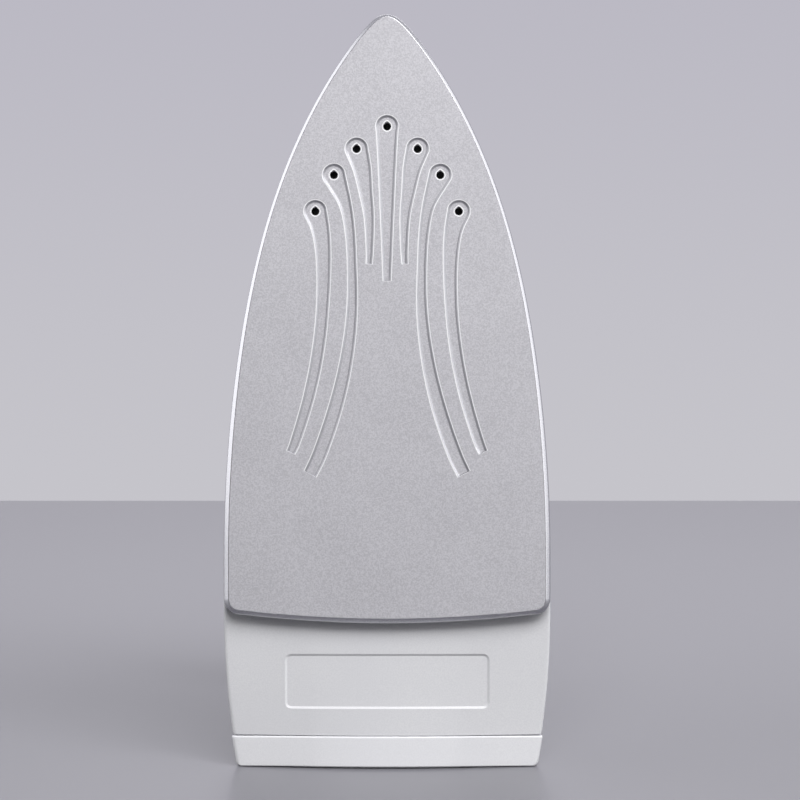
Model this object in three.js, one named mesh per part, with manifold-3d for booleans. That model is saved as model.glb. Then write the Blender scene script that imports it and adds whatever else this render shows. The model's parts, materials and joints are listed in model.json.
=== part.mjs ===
import * as THREE from 'three';
import { mergeVertices } from 'three/addons/utils/BufferGeometryUtils.js';
import Module from 'manifold-3d';

const wasm = await Module();
wasm.setup();

// The iron is drawn flat: x across, y away from the ironing face, z from the heel to the tip.
// It is then stood on its heel, which leans it back by this angle.
const lean = 6 * Math.PI / 180;

// Driving sizes in millimetres
const cut = 30;
const seat = 0.3;
const runningGap = 0.5;
const seam = 0.4;
const wall = 2.6;
const weld = 0.0005;
const noseTurns = 40;

const sole = {
  length: 222.1,
  halfWidth: 59.7,
  taperShare: 0.887,
  thickness: 4.8,
  cornerRadius: 5,
  leastRadius: 1.5,
  rearRise: 3.2,
  slopeStep: 0.5,
  sideSteps: 18,
  sideSpacing: 2.2,
  cornerSteps: 3,
  rearSteps: 3,
};
// Half width over its greatest, by powers of the root of the taper's share
const flankShares = [0.8989, -1.814, 12.6078, -23.7919, 18.522, -5.4228];

// Bevelled edge: how far in from the outline, and how far back from the face
const bevel = [
  { inset: 1.9, back: 0 },
  { inset: 1.2, back: 0.45 },
  { inset: 0.35, back: 1.3 },
  { inset: 0, back: 2.2 },
];

const heel = {
  height: 53.4,
  front: 5,
  baseDepth: 103,
  narrowing: 5,
  narrowExponent: 2.2,
  frontDrop: 3.6,
  sideRise: 2.5,
  bulgeExponent: 1.5,
};

const ironLength = sole.length + heel.height;
const alongSole = (share) => ironLength - share * sole.length;
const acrossSole = (share) => share * sole.halfWidth;

const groove = { headRadius: 4, depth: 0.5, wallWidth: 0.85, headSteps: 6 };
const steamHole = { radius: 1.45, sinkRadius: 2.05, sinkDepth: 0.45, sides: 10 };

// Each groove runs from its steam hole towards the heel.
// A row is: distance from the tip as a share of the sole's length, place across as a share of its
// half width, and half width of the groove as a share of the head's radius.
const grooveShares = [
  { both: false, steps: 3, rows: [[0.1835, 0, 1], [0.192, 0, 0.93], [0.3143, 0, 0.66], [0.4367, 0, 0.38]] },
  {
    both: true,
    steps: 7,
    rows: [[0.2204, 0.1864, 1], [0.2514, 0.1531, 0.87], [0.2911, 0.1299, 0.71], [0.3308, 0.1099, 0.56],
      [0.3898, 0.1057, 0.4], [0.4088, 0.1093, 0.35]],
  },
  {
    both: true,
    steps: 12,
    rows: [[0.2632, 0.3245, 1], [0.3109, 0.2546, 0.62], [0.3502, 0.228, 0.51], [0.4097, 0.2138, 0.46],
      [0.4885, 0.2147, 0.58], [0.5674, 0.2497, 0.64], [0.6462, 0.3178, 0.68], [0.7255, 0.4194, 0.69],
      [0.7535, 0.4693, 0.65]],
  },
  {
    both: true,
    steps: 10,
    rows: [[0.3227, 0.4376, 1], [0.3502, 0.4077, 0.82], [0.3898, 0.3895, 0.72], [0.4687, 0.391, 0.7],
      [0.5476, 0.4194, 0.67], [0.6264, 0.4776, 0.61], [0.7057, 0.5675, 0.5], [0.7179, 0.5875, 0.44]],
  },
];

// Cast back of the soleplate
const casting = {
  edge: 4.5, lip: 4.8, ledge: 3.4, clearance: 0.8, topEdge: 7.5, topFromShare: 0.092, topToShare: 0.95, steps: 10,
};
const castingLow = sole.thickness + casting.lip;
const castingTop = castingLow + casting.ledge;

const element = {
  radius: 3.1,
  edge: 9.2,
  sink: 4,
  rise: 9,
  bend: 4,
  noseShare: 0.108,
  startShare: 0.162,
  endShare: 0.8555,
  kneeAcrossShare: 0.7035,
  kneeAlongShare: 0.8825,
  riserAcrossShare: 0.5025,
  riserAlongShare: 0.8892,
  foot: 1.3,
  legSteps: 8,
  steps: 40,
  sides: 6,
};
const elementLevel = castingTop - element.sink;
const riserTop = castingTop + element.rise;

const chamber = { edge: 14.1, frontShare: 0.1666, backShare: 0.6754, pocket: 2.4, steps: 8, ribHalf: 1, ribGap: 1.2 };
const labyrinthShares = [
  [[0.12, 0.62], [0.3, 0.3], [0.5, 0.62]],
  [[0.62, 0.2], [0.72, 0.55], [0.9, 0.72]],
];
const chamberLid = { edge: 12.8, sealInner: 15.2, sealThickness: 0.8, thickness: 1.2 };
const chamberScrew = {
  post: 3.4, frontShare: 0.3152, frontAcrossShare: 0.134, rearShare: 0.6393, rearAcrossShare: 0.5695,
};
const screw = {
  shaft: 1.3, bore: 1.6, head: 2.7, headHeight: 1.8, bite: 6, sides: 8, slot: 0.8, slotDepth: 0.7, slotShare: 0.6,
};
const bodyScrew = { shaft: 1.6, bore: 2, head: 3.5, headHeight: 2.2, bite: 10, sides: 10 };
const frontBoss = { alongShare: 0.448, radius: 5, rise: 11 };
const rearBoss = { alongShare: 0.9433, acrossShare: 0.737, radius: 4.5, rise: 5 };
const shieldPost = { alongShare: 0.7744, acrossShare: 0.67, radius: 3 };
const earthPost = { alongShare: 0.923, acrossShare: -0.2345, radius: 2, rise: 4 };
const bossTop = castingTop + frontBoss.rise;

const steamInlet = {
  acrossShare: -0.268, alongShare: 0.5628, flange: 6, flangeHeight: 2, riser: 3.6, rise: 7, nozzle: 2.6, reach: 12,
  sides: 12,
};
const inletX = acrossSole(steamInlet.acrossShare);
const inletZ = alongSole(steamInlet.alongShare);
const inletLevel = bossTop + steamInlet.rise;
const steamHose = { radius: 4, bore: 2.9, grip: 6, sides: 7, steps: 15 };
// The hose's way to the gland, as shares: across from the gland to the inlet, back from the inlet to
// the gland, and up the iron
const hoseShares = [
  [1, 0, 0.4174], [0.875, 0, 0.3267], [0.625, 0.024, 0.2323], [0.4375, 0.143, 0.1525], [0.3125, 0.369, 0.1307],
  [0.1875, 0.63, 0.1307], [0.0625, 0.856, 0.1561],
];
const thermostat = {
  fromDial: 8.5, halfLength: 11, halfWidth: 9, base: 2, stack: 4.6, stackHeight: 8, nut: 2.6, nutSides: 6,
};
const blade = { halfWidth: 3, thickness: 0.8, reach: 17 };
const spindle = { radius: 3, reach: 5, flatShare: 0.6 };
const fuse = { acrossShare: 0.2513, alongShare: 0.8915, halfLength: 11, radius: 3.2, sides: 12 };
const clip = { halfLength: 4, thickness: 0.8, foot: 6 };
const shield = { fromShare: 0.3602, toShare: 0.842, thickness: 0.8, edge: 10.5, steps: 8 };
const pinTerminal = { radius: 1.6, height: 6, sides: 10 };

// Body shell
const skirt = { gap: 1.2, inset: 1.5, heelInset: 0.3, blendStart: 4.6, blendLength: 37, wallEdge: 3.9 };
const skirtRim = sole.thickness + skirt.gap;
const blendFrom = heel.height + skirt.blendStart;
const blendTo = blendFrom + skirt.blendLength;
const deck = { room: 26, crown: 6, noseCrown: 2.5, noseShare: 0.6, shoulderRoundShare: 0.4 };
const cornerShare = 0.49;
const deckHeight = bossTop + deck.room;
const deckShares = [
  [-0.1, 1], [0.07, 1], [0.22, 0.96], [0.436, 0.9], [0.653, 0.76], [0.8, 0.6], [0.907, 0.43], [0.973, 0.3], [1, 0.22],
];
const shoulderShares = [[-0.1, 0.8], [0.4, 0.8], [0.75, 0.72], [1, 0.6]];
const section = {
  frontRound: 4, rimRound: 1.6, frontSteps: 3, sideSteps: 2, crownSteps: 3, topSteps: 3, spacing: 1.35,
};
const bodySteps = 16;
const innerSteps = 8;
const zoneSteps = 12;
const seamHeel = 33;
const seamTip = 9.5;

const grip = {
  top: 128, halfWidth: 16.5, halfThickness: 14, roundExponent: 2.6, steps: 24, sides: 14, innerSteps: 12,
  innerSides: 10,
};
const gripPathShares = [
  [0.188, 0.109], [0.469, 0.084], [0.742, 0.094], [0.867, 0.174], [0.895, 0.309],
  [0.887, 0.436], [0.844, 0.545], [0.703, 0.61], [0.5, 0.639], [0.188, 0.646],
];
const gripWidthShares = [2.18, 1.64, 1.33, 1.15, 1.06, 1, 0.97, 1, 1.15, 1.82];
const gripThicknessShares = [2.14, 1.71, 1.57, 1.21, 1.04, 1, 1.04, 1.04, 1, 1.43];
const gripCover = { fromShare: 0.4, toShare: 0.83, rise: 1.5, steps: 16 };

const heelCap = { height: 11.7, arch: 0.5, lip: 0.5 };
const capScrew = { acrossShare: 0.5025, fromDeck: 12, post: 4.2, counterbore: 3.9, headLevel: 1.3, boss: 22 };
const capScrewX = acrossSole(capScrew.acrossShare);
const capScrewBack = deckHeight - capScrew.fromDeck;
const recess = { halfWidth: 37.15, low: 22.1, height: 19.5, depth: 0.45, corner: 1.8, steps: 3 };
const lug = { thickness: 2.6, halfLength: 5 };
const bridge = { rise: 5.5, thickness: 2.6, halfLength: 8, bossRadius: 5 };
const bridgeLevel = bossTop + bridge.rise;
const bridgeTop = bridgeLevel + bridge.thickness;

const dial = {
  alongShare: 0.70914,
  radius: 23,
  pocket: 24.2,
  pad: 27,
  sink: 3.6,
  padThickness: 3,
  height: 7,
  rimRound: 1,
  ridges: 30,
  ridgeHeight: 0.5,
  barHalf: 3.2,
  barHeight: 3,
  barReach: 19,
  pocketSides: 24,
};
const dialZ = alongSole(dial.alongShare);
const dialFloor = deckLevel(dialZ) - dial.sink;
const pilot = {
  alongShare: 0.96128, halfWidth: 4.5, radius: 2.5, lens: 7.5, proud: 0.8, lampRadius: 2.2, lampLength: 9, steps: 6,
};
const pilotZ = alongSole(pilot.alongShare);
const pilotTop = deckLevel(pilotZ);
const terminals = {
  halfWidth: 17, low: 13.5, height: 11.5, from: 20, length: 16, screws: 3, pitch: 10, bore: 2, rib: 3, sides: 8,
};
const terminalsHigh = terminals.low + terminals.height;
const terminalsEnd = terminals.from + terminals.length;

// Each lead's way from the terminal block to the piece that it feeds, as shares: along, across and the rise
const lead = { radius: 1.2, sides: 6, steps: 12, grip: 4, straight: 4, rise: 3.6, reach: 1.4 };
const liveShares = [[0.21, -0.14, 1], [0.66, 0.57, 0.9], [0.9, 0.86, 0]];
const neutralShares = [[0.33, 0.28, 0.97], [0.71, 0.7, 0.82]];
const earthShares = [[0.45, 0.6, 0]];

const gland = {
  rise: 1, alongShare: 0.15245, tilt: 12 * Math.PI / 180, flat: 1.9, collar: 10.5, collarHeight: 3, sleeve: 8,
  tail: 12, reach: 22, tip: 7, bore: 5, ribs: 4, ribDepth: 1, valleyShare: 0.4, sides: 12,
};
const glandBack = grip.top + gland.rise;
const glandZ = gland.alongShare * ironLength;
const clamp = { radius: 9.8, thickness: 4, from: 7 };

const trigger = {
  backShare: 0.828125, alongShare: 0.56624, halfWidth: 8, length: 36.5, rise: 2, reach: 16.5, hub: 4, cheek: 3.6,
  travel: 6 * Math.PI / 180,
};
// The trigger's pivot and the edges that are worked out from it
const pull = { back: trigger.backShare * grip.top, along: trigger.alongShare * ironLength };
pull.top = pull.back + trigger.rise;
pull.bottom = pull.back - trigger.reach;
pull.rear = pull.along - trigger.length;
const slot = { side: 0.7, rear: 2.8, front: 1.5 };
const triggerPin = { radius: 1.5, ear: 3, earHalf: 5, earReach: 15, sides: 12 };
const torsionSpring = { coil: 2.6, wire: 0.45, turns: 5, perTurn: 6, sides: 4 };
const microswitch = { fromPivot: 12, halfWidth: 3.2, rise: 3.4, height: 6, halfLength: 6, plunger: 1.2, stroke: 2.2 };
const switchZ = pull.along - microswitch.fromPivot;
const switchLow = pull.top + microswitch.rise;
const switchHigh = switchLow + microswitch.height;
const plungerTop = switchLow + microswitch.stroke;
const switchBridge = { thickness: 2, halfLength: 7 };

// Solids and outlines

function solid(geometry) {
  const bare = new THREE.BufferGeometry();
  bare.setAttribute('position', geometry.getAttribute('position'));
  bare.setIndex(geometry.getIndex());
  const merged = mergeVertices(bare, weld);
  const vertProperties = new Float32Array(merged.getAttribute('position').array);
  const triVerts = new Uint32Array(merged.getIndex().array);
  return new wasm.Manifold(new wasm.Mesh({ numProp: 3, vertProperties, triVerts }));
}

function geometryOf(body) {
  const mesh = body.getMesh();
  const geometry = new THREE.BufferGeometry();
  geometry.setAttribute('position', new THREE.BufferAttribute(new Float32Array(mesh.vertProperties), 3));
  geometry.setIndex(new THREE.BufferAttribute(new Uint32Array(mesh.triVerts), 1));
  return geometry;
}

function joined(bodies) {
  return bodies.reduce((whole, body) => whole.add(body));
}

function block([left, right], [front, back], [low, high]) {
  const box = new THREE.BoxGeometry(right - left, back - front, high - low);
  return solid(box.translate((left + right) / 2, (front + back) / 2, (low + high) / 2));
}

// A round post standing on the ironing face's side, from one depth to another
function post(x, z, radius, front, back, sides = 10, backRadius = radius) {
  const round = new THREE.CylinderGeometry(backRadius, radius, back - front, sides);
  return solid(round.translate(x, (front + back) / 2, z));
}

function rodAlong(x, y, radius, low, high, sides = 10) {
  const round = new THREE.CylinderGeometry(radius, radius, high - low, sides).rotateX(Math.PI / 2);
  return solid(round.translate(x, y, (low + high) / 2));
}

function rodAcross(y, z, radius, left, right, sides = 12) {
  const round = new THREE.CylinderGeometry(radius, radius, right - left, sides).rotateZ(Math.PI / 2);
  return solid(round.translate((left + right) / 2, y, z));
}

// A flat piece parallel to the ironing face, from an outline of [x, z] points
function plate(outline, front, back) {
  const shape = new THREE.Shape(outline.map(([x, z]) => new THREE.Vector2(x, z)));
  const slab = new THREE.ExtrudeGeometry(shape, { depth: back - front, bevelEnabled: false });
  return solid(slab.rotateX(Math.PI / 2).translate(0, back, 0));
}

// A piece of even width across the iron, from a side outline of [y, z] points
function sidePlate(outline, left, right) {
  const shape = new THREE.Shape(outline.map(([y, z]) => new THREE.Vector2(y, z)));
  const slab = new THREE.ExtrudeGeometry(shape, { depth: right - left, bevelEnabled: false });
  const turn = new THREE.Matrix4().set(0, 0, 1, 0, 1, 0, 0, 0, 0, 1, 0, 0, 0, 0, 0, 1);
  return solid(slab.applyMatrix4(turn).translate(left, 0, 0));
}

function capTriangles(ring) {
  const normal = new THREE.Vector3();
  ring.forEach((point, index) => {
    const next = ring[(index + 1) % ring.length];
    normal.add(new THREE.Vector3().crossVectors(point, next));
  });
  const size = [Math.abs(normal.x), Math.abs(normal.y), Math.abs(normal.z)];
  const drop = size.indexOf(Math.max(...size));
  const sign = Math.sign(normal.getComponent(drop));
  const first = (drop + 1) % 3;
  const second = (drop + 2) % 3;
  const flat = ring.map((point) => new THREE.Vector2(point.getComponent(first), point.getComponent(second)));
  const faces = THREE.ShapeUtils.triangulateShape(flat, []);
  const turned = faces.reduce((sum, [a, b, c]) => {
    const ab = flat[b].clone().sub(flat[a]);
    const ac = flat[c].clone().sub(flat[a]);
    return sum + ab.cross(ac);
  }, 0);
  return turned * sign > 0 ? faces : faces.map(([a, b, c]) => [a, c, b]);
}

// A closed skin over rings of equal count
function loft(rings) {
  const count = rings[0].length;
  const points = rings.flat();
  const faces = [];
  for (let ring = 0; ring < rings.length - 1; ring += 1) {
    for (let side = 0; side < count; side += 1) {
      const a = ring * count + side;
      const b = ring * count + (side + 1) % count;
      faces.push([a, b, b + count], [a, b + count, a + count]);
    }
  }
  const last = (rings.length - 1) * count;
  capTriangles(rings[0]).forEach(([a, b, c]) => faces.push([a, c, b]));
  capTriangles(rings[rings.length - 1]).forEach(([a, b, c]) => faces.push([a + last, b + last, c + last]));
  const volume = faces.reduce((sum, [a, b, c]) => {
    const side = new THREE.Vector3().crossVectors(points[b], points[c]);
    return sum + points[a].dot(side);
  }, 0);
  const index = faces.flatMap(([a, b, c]) => (volume > 0 ? [a, b, c] : [a, c, b]));
  const geometry = new THREE.BufferGeometry().setFromPoints(points);
  geometry.setIndex(index);
  return solid(geometry);
}

function circle(radius, sides) {
  return Array.from({ length: sides }, (_, side) => {
    const angle = (side / sides) * 2 * Math.PI;
    return new THREE.Vector2(radius * Math.cos(angle), radius * Math.sin(angle));
  });
}

function tube(curve, radius, sides, steps, bore) {
  const shape = new THREE.Shape(circle(radius, sides));
  if (bore) {
    shape.holes.push(new THREE.Path(circle(bore, sides)));
  }
  return solid(new THREE.ExtrudeGeometry(shape, { extrudePath: curve, steps, bevelEnabled: false }));
}

function throughPoints(places) {
  return new THREE.CatmullRomCurve3(places.map(([x, y, z]) => new THREE.Vector3(x, y, z)));
}

// A smooth value from a table of [place, value] rows
function fromTable(rows, place) {
  const found = rows.findIndex(([at]) => at > place);
  const next = found < 0 ? rows.length - 1 : Math.max(found, 1);
  const row = (index) => rows[Math.min(Math.max(index, 0), rows.length - 1)];
  const [[t0, v0], [t1, v1], [t2, v2], [t3, v3]] = [row(next - 2), row(next - 1), row(next), row(next + 1)];
  const span = t2 - t1;
  const t = Math.min(Math.max((place - t1) / span, 0), 1);
  const slope1 = (v2 - v0) / (t2 - t0) * span;
  const slope2 = (v3 - v1) / (t3 - t1) * span;
  const square = t * t;
  const cube = square * t;
  return (2 * cube - 3 * square + 1) * v1 + (cube - 2 * square + t) * slope1
    + (3 * square - 2 * cube) * v2 + (cube - square) * slope2;
}

function smoothstep(from, to, value) {
  return THREE.MathUtils.smoothstep(value, from, to);
}

// A strip of even width along points in the plane of the sole
function ribbon(places, halfWidth) {
  const sides = [[], []];
  places.forEach(([x, z], index) => {
    const [nextX, nextZ] = places[Math.min(index + 1, places.length - 1)];
    const [lastX, lastZ] = places[Math.max(index - 1, 0)];
    const length = Math.hypot(nextX - lastX, nextZ - lastZ);
    const across = [(nextZ - lastZ) / length * halfWidth, (lastX - nextX) / length * halfWidth];
    sides[0].push([x + across[0], z + across[1]]);
    sides[1].unshift([x - across[0], z - across[1]]);
  });
  return sides.flat();
}

// Soleplate outline

function soleHalf(fromTip) {
  const root = Math.sqrt(Math.min(Math.max(fromTip / (sole.taperShare * sole.length), 0), 1));
  return sole.halfWidth * flankShares.reduce((sum, share, power) => sum + share * root ** (power + 1), 0);
}

function insetHalf(fromTip, inset) {
  const ahead = Math.max(fromTip - sole.slopeStep, 0);
  const slope = (soleHalf(fromTip + sole.slopeStep) - soleHalf(ahead)) / (fromTip + sole.slopeStep - ahead);
  return soleHalf(fromTip) - inset * Math.sqrt(1 + slope * slope);
}

function noseOf(inset) {
  let low = 0;
  let high = sole.length / 2;
  for (let turn = 0; turn < noseTurns && inset > 0; turn += 1) {
    const middle = (low + high) / 2;
    if (insetHalf(middle, inset) > 0) high = middle;
    else low = middle;
  }
  return inset > 0 ? high : 0;
}

function mirrored(right) {
  const left = right.slice(1, -1).reverse();
  return right.concat(left.map(([x, z]) => [-x, z]));
}

function soleOutline(inset) {
  const right = [];
  const radius = Math.max(sole.cornerRadius - inset, sole.leastRadius);
  const rear = ironLength - sole.length + inset;
  const corner = [sole.halfWidth - inset - radius, rear + sole.rearRise + radius];
  const nose = noseOf(inset);
  const flank = ironLength - corner[1] - nose;
  for (let step = 0; step <= sole.sideSteps; step += 1) {
    const fromTip = nose + flank * (step / sole.sideSteps) ** sole.sideSpacing;
    right.push([step === 0 ? 0 : insetHalf(fromTip, inset), ironLength - fromTip]);
  }
  for (let step = 1; step <= sole.cornerSteps; step += 1) {
    const angle = (step / sole.cornerSteps) * Math.PI / 2;
    right.push([corner[0] + radius * Math.cos(angle), corner[1] - radius * Math.sin(angle)]);
  }
  for (let step = sole.rearSteps - 1; step >= 0; step -= 1) {
    const share = step / sole.rearSteps;
    right.push([corner[0] * share, rear + sole.rearRise * share * share]);
  }
  return mirrored(right);
}

function levelRing(outline, y) {
  return outline.map(([x, z]) => new THREE.Vector3(x, y, z));
}

// Grooves

function grooveRing({ rows, steps }, side, inset, y) {
  const places = rows.map(([along, across, width]) => [
    acrossSole(across) * side,
    width * groove.headRadius,
    alongSole(along),
  ]);
  const samples = throughPoints(places).getPoints(steps);
  const left = [];
  const right = [];
  const way = (index) => {
    const before = samples[Math.max(index - 1, 0)];
    const after = samples[Math.min(index + 1, steps)];
    return new THREE.Vector2(before.x - after.x, before.z - after.z).normalize();
  };
  samples.slice(1).forEach((sample, index) => {
    const ahead = way(index + 1);
    const back = index === steps - 1 ? inset : 0;
    const width = sample.y - inset;
    const middle = new THREE.Vector2(sample.x + ahead.x * back, sample.z + ahead.y * back);
    left.push([middle.x - ahead.y * width, middle.y + ahead.x * width]);
    right.unshift([middle.x + ahead.y * width, middle.y - ahead.x * width]);
  });
  const head = samples[0];
  const start = Math.atan2(way(0).y, way(0).x) - Math.PI / 2;
  for (let step = 0; step <= groove.headSteps; step += 1) {
    const angle = start + (step / groove.headSteps) * Math.PI;
    right.push([head.x + (head.y - inset) * Math.cos(angle), head.z + (head.y - inset) * Math.sin(angle)]);
  }
  return levelRing(right.concat(left), y);
}

function grooveCut(row, side) {
  const tool = loft([
    grooveRing(row, side, -groove.wallWidth, -groove.depth),
    grooveRing(row, side, groove.wallWidth, groove.depth),
  ]);
  const [along, across] = row.rows[0];
  const x = acrossSole(across) * side;
  const z = alongSole(along);
  const bottom = groove.depth + steamHole.sinkDepth;
  const sink = post(x, z, steamHole.sinkRadius, groove.depth, bottom, steamHole.sides, steamHole.radius);
  const bore = post(x, z, steamHole.radius, 0, sole.thickness + cut, steamHole.sides);
  const pocket = post(x, z, chamber.pocket, sole.thickness, castingTop + cut, steamHole.sides);
  return joined([tool, sink, bore, pocket]);
}

// Cast back of the soleplate

const riserX = acrossSole(element.riserAcrossShare);
const riserZ = alongSole(element.riserAlongShare);

function elementLeg(side) {
  const places = [];
  for (let step = 0; step <= element.legSteps; step += 1) {
    const fromTip = sole.length * THREE.MathUtils.lerp(element.startShare, element.endShare, step / element.legSteps);
    places.push([side * insetHalf(fromTip, element.edge), ironLength - fromTip]);
  }
  places.push([side * acrossSole(element.kneeAcrossShare), alongSole(element.kneeAlongShare)]);
  places.push([side * (riserX + element.bend), riserZ]);
  return places;
}

function elementTrack() {
  const nose = [0, alongSole(element.noseShare)];
  return elementLeg(-1).reverse().concat([nose], elementLeg(1));
}

// A stretch of the sole's outline, drawn in from the edge and cut square at both ends
function flankOutline(edge, from, to, steps) {
  const right = [];
  for (let step = 0; step <= steps; step += 1) {
    const fromTip = from + (to - from) * (step / steps);
    right.push([insetHalf(fromTip, edge), ironLength - fromTip]);
  }
  return right.concat(right.slice().reverse().map(([x, z]) => [-x, z]));
}

const chamberFront = chamber.frontShare * sole.length;
const chamberBack = chamber.backShare * sole.length;

function chamberOutline(edge) {
  const grow = edge - chamber.edge;
  return flankOutline(edge, chamberFront + grow, chamberBack - grow, chamber.steps);
}

function labyrinthRib(rowShares, side) {
  const places = rowShares.map(([along, across]) => {
    const fromTip = THREE.MathUtils.lerp(chamberFront, chamberBack, along);
    return [side * across * insetHalf(fromTip, chamber.edge), ironLength - fromTip];
  });
  return plate(ribbon(places, chamber.ribHalf), sole.thickness / 2, castingTop - chamber.ribGap);
}

const chamberScrewPlaces = [['left', -1], ['right', 1]].flatMap(([name, side]) => [
  [`chamber_screw_front_${name}`, side * acrossSole(chamberScrew.frontAcrossShare), alongSole(chamberScrew.frontShare)],
  [`chamber_screw_rear_${name}`, side * acrossSole(chamberScrew.rearAcrossShare), alongSole(chamberScrew.rearShare)],
]);

const frontBossZ = alongSole(frontBoss.alongShare);
const rearBossX = acrossSole(rearBoss.acrossShare);
const rearBossZ = alongSole(rearBoss.alongShare);
const rearBossTop = castingTop + rearBoss.rise;
const earthX = acrossSole(earthPost.acrossShare);
const earthZ = alongSole(earthPost.alongShare);
const earthTop = castingTop + earthPost.rise;

function soleplate() {
  const rings = bevel.map(({ inset, back }) => levelRing(soleOutline(inset), back));
  rings.push(levelRing(soleOutline(0), sole.thickness));
  const base = soleOutline(casting.edge);
  const ends = [casting.topFromShare, casting.topToShare].map((share) => share * sole.length);
  const ledge = flankOutline(casting.topEdge, ...ends, casting.steps);
  const track = elementCurve().getSpacedPoints(element.steps);
  const bedded = track.filter((place) => place.y < elementLevel + element.bend);
  const trackHalf = element.radius + seat;
  const strip = ribbon(bedded.map((place) => [place.x, place.z]), trackHalf);
  const trackCut = plate(strip, elementLevel - trackHalf, castingTop + cut);
  const riserCuts = [-1, 1].flatMap((side) => {
    const x = side * riserX;
    const bendEnds = [x, x + side * 3 * element.bend].sort((a, b) => a - b);
    const depths = [elementLevel - trackHalf, castingTop + cut];
    return [post(x, riserZ, trackHalf, ...depths), block(bendEnds, depths, [riserZ - trackHalf, riserZ + trackHalf])];
  });
  const bed = plate(chamberOutline(chamber.edge), sole.thickness, castingTop + cut);
  const ribs = labyrinthShares.flatMap((row) => [-1, 1].map((side) => labyrinthRib(row, side)));
  const posts = chamberScrewPlaces.map(([, x, z]) => post(x, z, chamberScrew.post, sole.thickness / 2, castingTop));
  const bosses = [
    post(0, frontBossZ, frontBoss.radius, sole.thickness / 2, bossTop),
    post(earthX, earthZ, earthPost.radius, sole.thickness, earthTop),
  ];
  const bores = chamberScrewPlaces.map(([, x, z]) => (
    post(x, z, screw.bore, castingTop - screw.bite, castingTop + cut, screw.sides)
  ));
  bores.push(post(0, frontBossZ, bodyScrew.bore, bossTop - bodyScrew.bite - seat, bossTop + cut, bodyScrew.sides));
  for (const side of [-1, 1]) {
    const shieldX = side * acrossSole(shieldPost.acrossShare);
    const bottom = rearBossTop - bodyScrew.bite - seat;
    bosses.push(post(side * rearBossX, rearBossZ, rearBoss.radius, sole.thickness, rearBossTop));
    bosses.push(post(shieldX, alongSole(shieldPost.alongShare), shieldPost.radius, sole.thickness, bossTop));
    bores.push(post(side * rearBossX, rearBossZ, bodyScrew.bore, bottom, rearBossTop + cut, bodyScrew.sides));
  }
  const back = plate(base, sole.thickness / 2, castingLow).add(plate(ledge, sole.thickness, castingTop));
  const grooves = grooveShares.flatMap((row) => (row.both ? [-1, 1] : [1]).map((side) => grooveCut(row, side)));
  return loft(rings)
    .add(back.subtract(trackCut).subtract(joined(riserCuts)).subtract(bed))
    .add(joined(ribs.concat(posts, bosses)))
    .subtract(joined(grooves.concat(bores)));
}

function elementCurve() {
  const riser = (side) => [
    [side * (riserX + element.foot), elementLevel + element.foot, riserZ],
    [side * riserX, elementLevel + element.bend, riserZ],
    [side * riserX, riserTop, riserZ],
  ];
  const track = elementTrack().map(([x, z]) => [x, elementLevel, z]);
  return throughPoints(riser(-1).reverse().concat(track, riser(1)));
}

// Outer body

function skirtHalf(z) {
  if (z < blendFrom) {
    const share = (blendFrom - z) / blendFrom;
    return sole.halfWidth - skirt.heelInset - heel.narrowing * share ** heel.narrowExponent;
  }
  const inset = THREE.MathUtils.lerp(skirt.heelInset, skirt.inset, smoothstep(blendFrom, blendTo, z));
  return soleHalf(ironLength - z) - inset;
}

function deckLevel(z) {
  return deckHeight * fromTable(deckShares, z / ironLength);
}

function rounded(corners) {
  const ring = [];
  corners.forEach(([x, y, round, steps], index) => {
    const [lastX, lastY] = corners[(index + corners.length - 1) % corners.length];
    const [nextX, nextY] = corners[(index + 1) % corners.length];
    const corner = new THREE.Vector2(x, y);
    const back = new THREE.Vector2(lastX - x, lastY - y);
    const ahead = new THREE.Vector2(nextX - x, nextY - y);
    const reach = Math.min(round, back.length() * cornerShare, ahead.length() * cornerShare);
    const start = corner.clone().add(back.setLength(reach));
    const end = corner.clone().add(ahead.setLength(reach));
    ring.push(...new THREE.QuadraticBezierCurve(start, corner, end).getPoints(steps));
  });
  return ring;
}

function bodyRing(z, inset) {
  const coarse = inset > 0 ? 2 : 1;
  const along = z / ironLength;
  const half = skirtHalf(z) - inset;
  const share = Math.max((blendFrom - z) / blendFrom, 0);
  const middle = skirtRim - heel.frontDrop * share ** heel.bulgeExponent + inset;
  const side = skirtRim + heel.sideRise * share + inset;
  const top = deckLevel(z) - inset;
  const crown = THREE.MathUtils.lerp(deck.crown, deck.noseCrown, smoothstep(deck.noseShare, 1, along));
  const shoulder = half * fromTable(shoulderShares, along);
  const round = THREE.MathUtils.lerp(section.rimRound, section.frontRound, smoothstep(0, 1, share));
  const right = [
    [half, side, round, Math.ceil(section.sideSteps / coarse)],
    [shoulder, top - crown, (top - side) * deck.shoulderRoundShare, Math.ceil(section.crownSteps / coarse)],
  ];
  const corners = [[0, middle, half, section.frontSteps]]
    .concat(right, [[0, top, half, section.topSteps]], right.slice().reverse().map(([x, ...rest]) => [-x, ...rest]));
  return rounded(corners).map((place) => new THREE.Vector3(place.x, place.y, z));
}

function bodyNose(inset) {
  const least = skirtRim + 2 * inset + deck.noseCrown + sole.leastRadius;
  let nose = noseOf(skirt.inset + inset + sole.leastRadius);
  while (deckLevel(ironLength - nose) < least) nose += sole.slopeStep;
  return nose;
}

function lowerSolid(inset) {
  const nose = bodyNose(inset);
  const reach = ironLength + heelCap.height - nose;
  const steps = inset > 0 ? innerSteps : bodySteps;
  const rings = [];
  for (let step = 0; step <= steps; step += 1) {
    rings.push(bodyRing(ironLength - nose - reach * (step / steps) ** section.spacing, inset));
  }
  return loft(rings);
}

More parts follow.
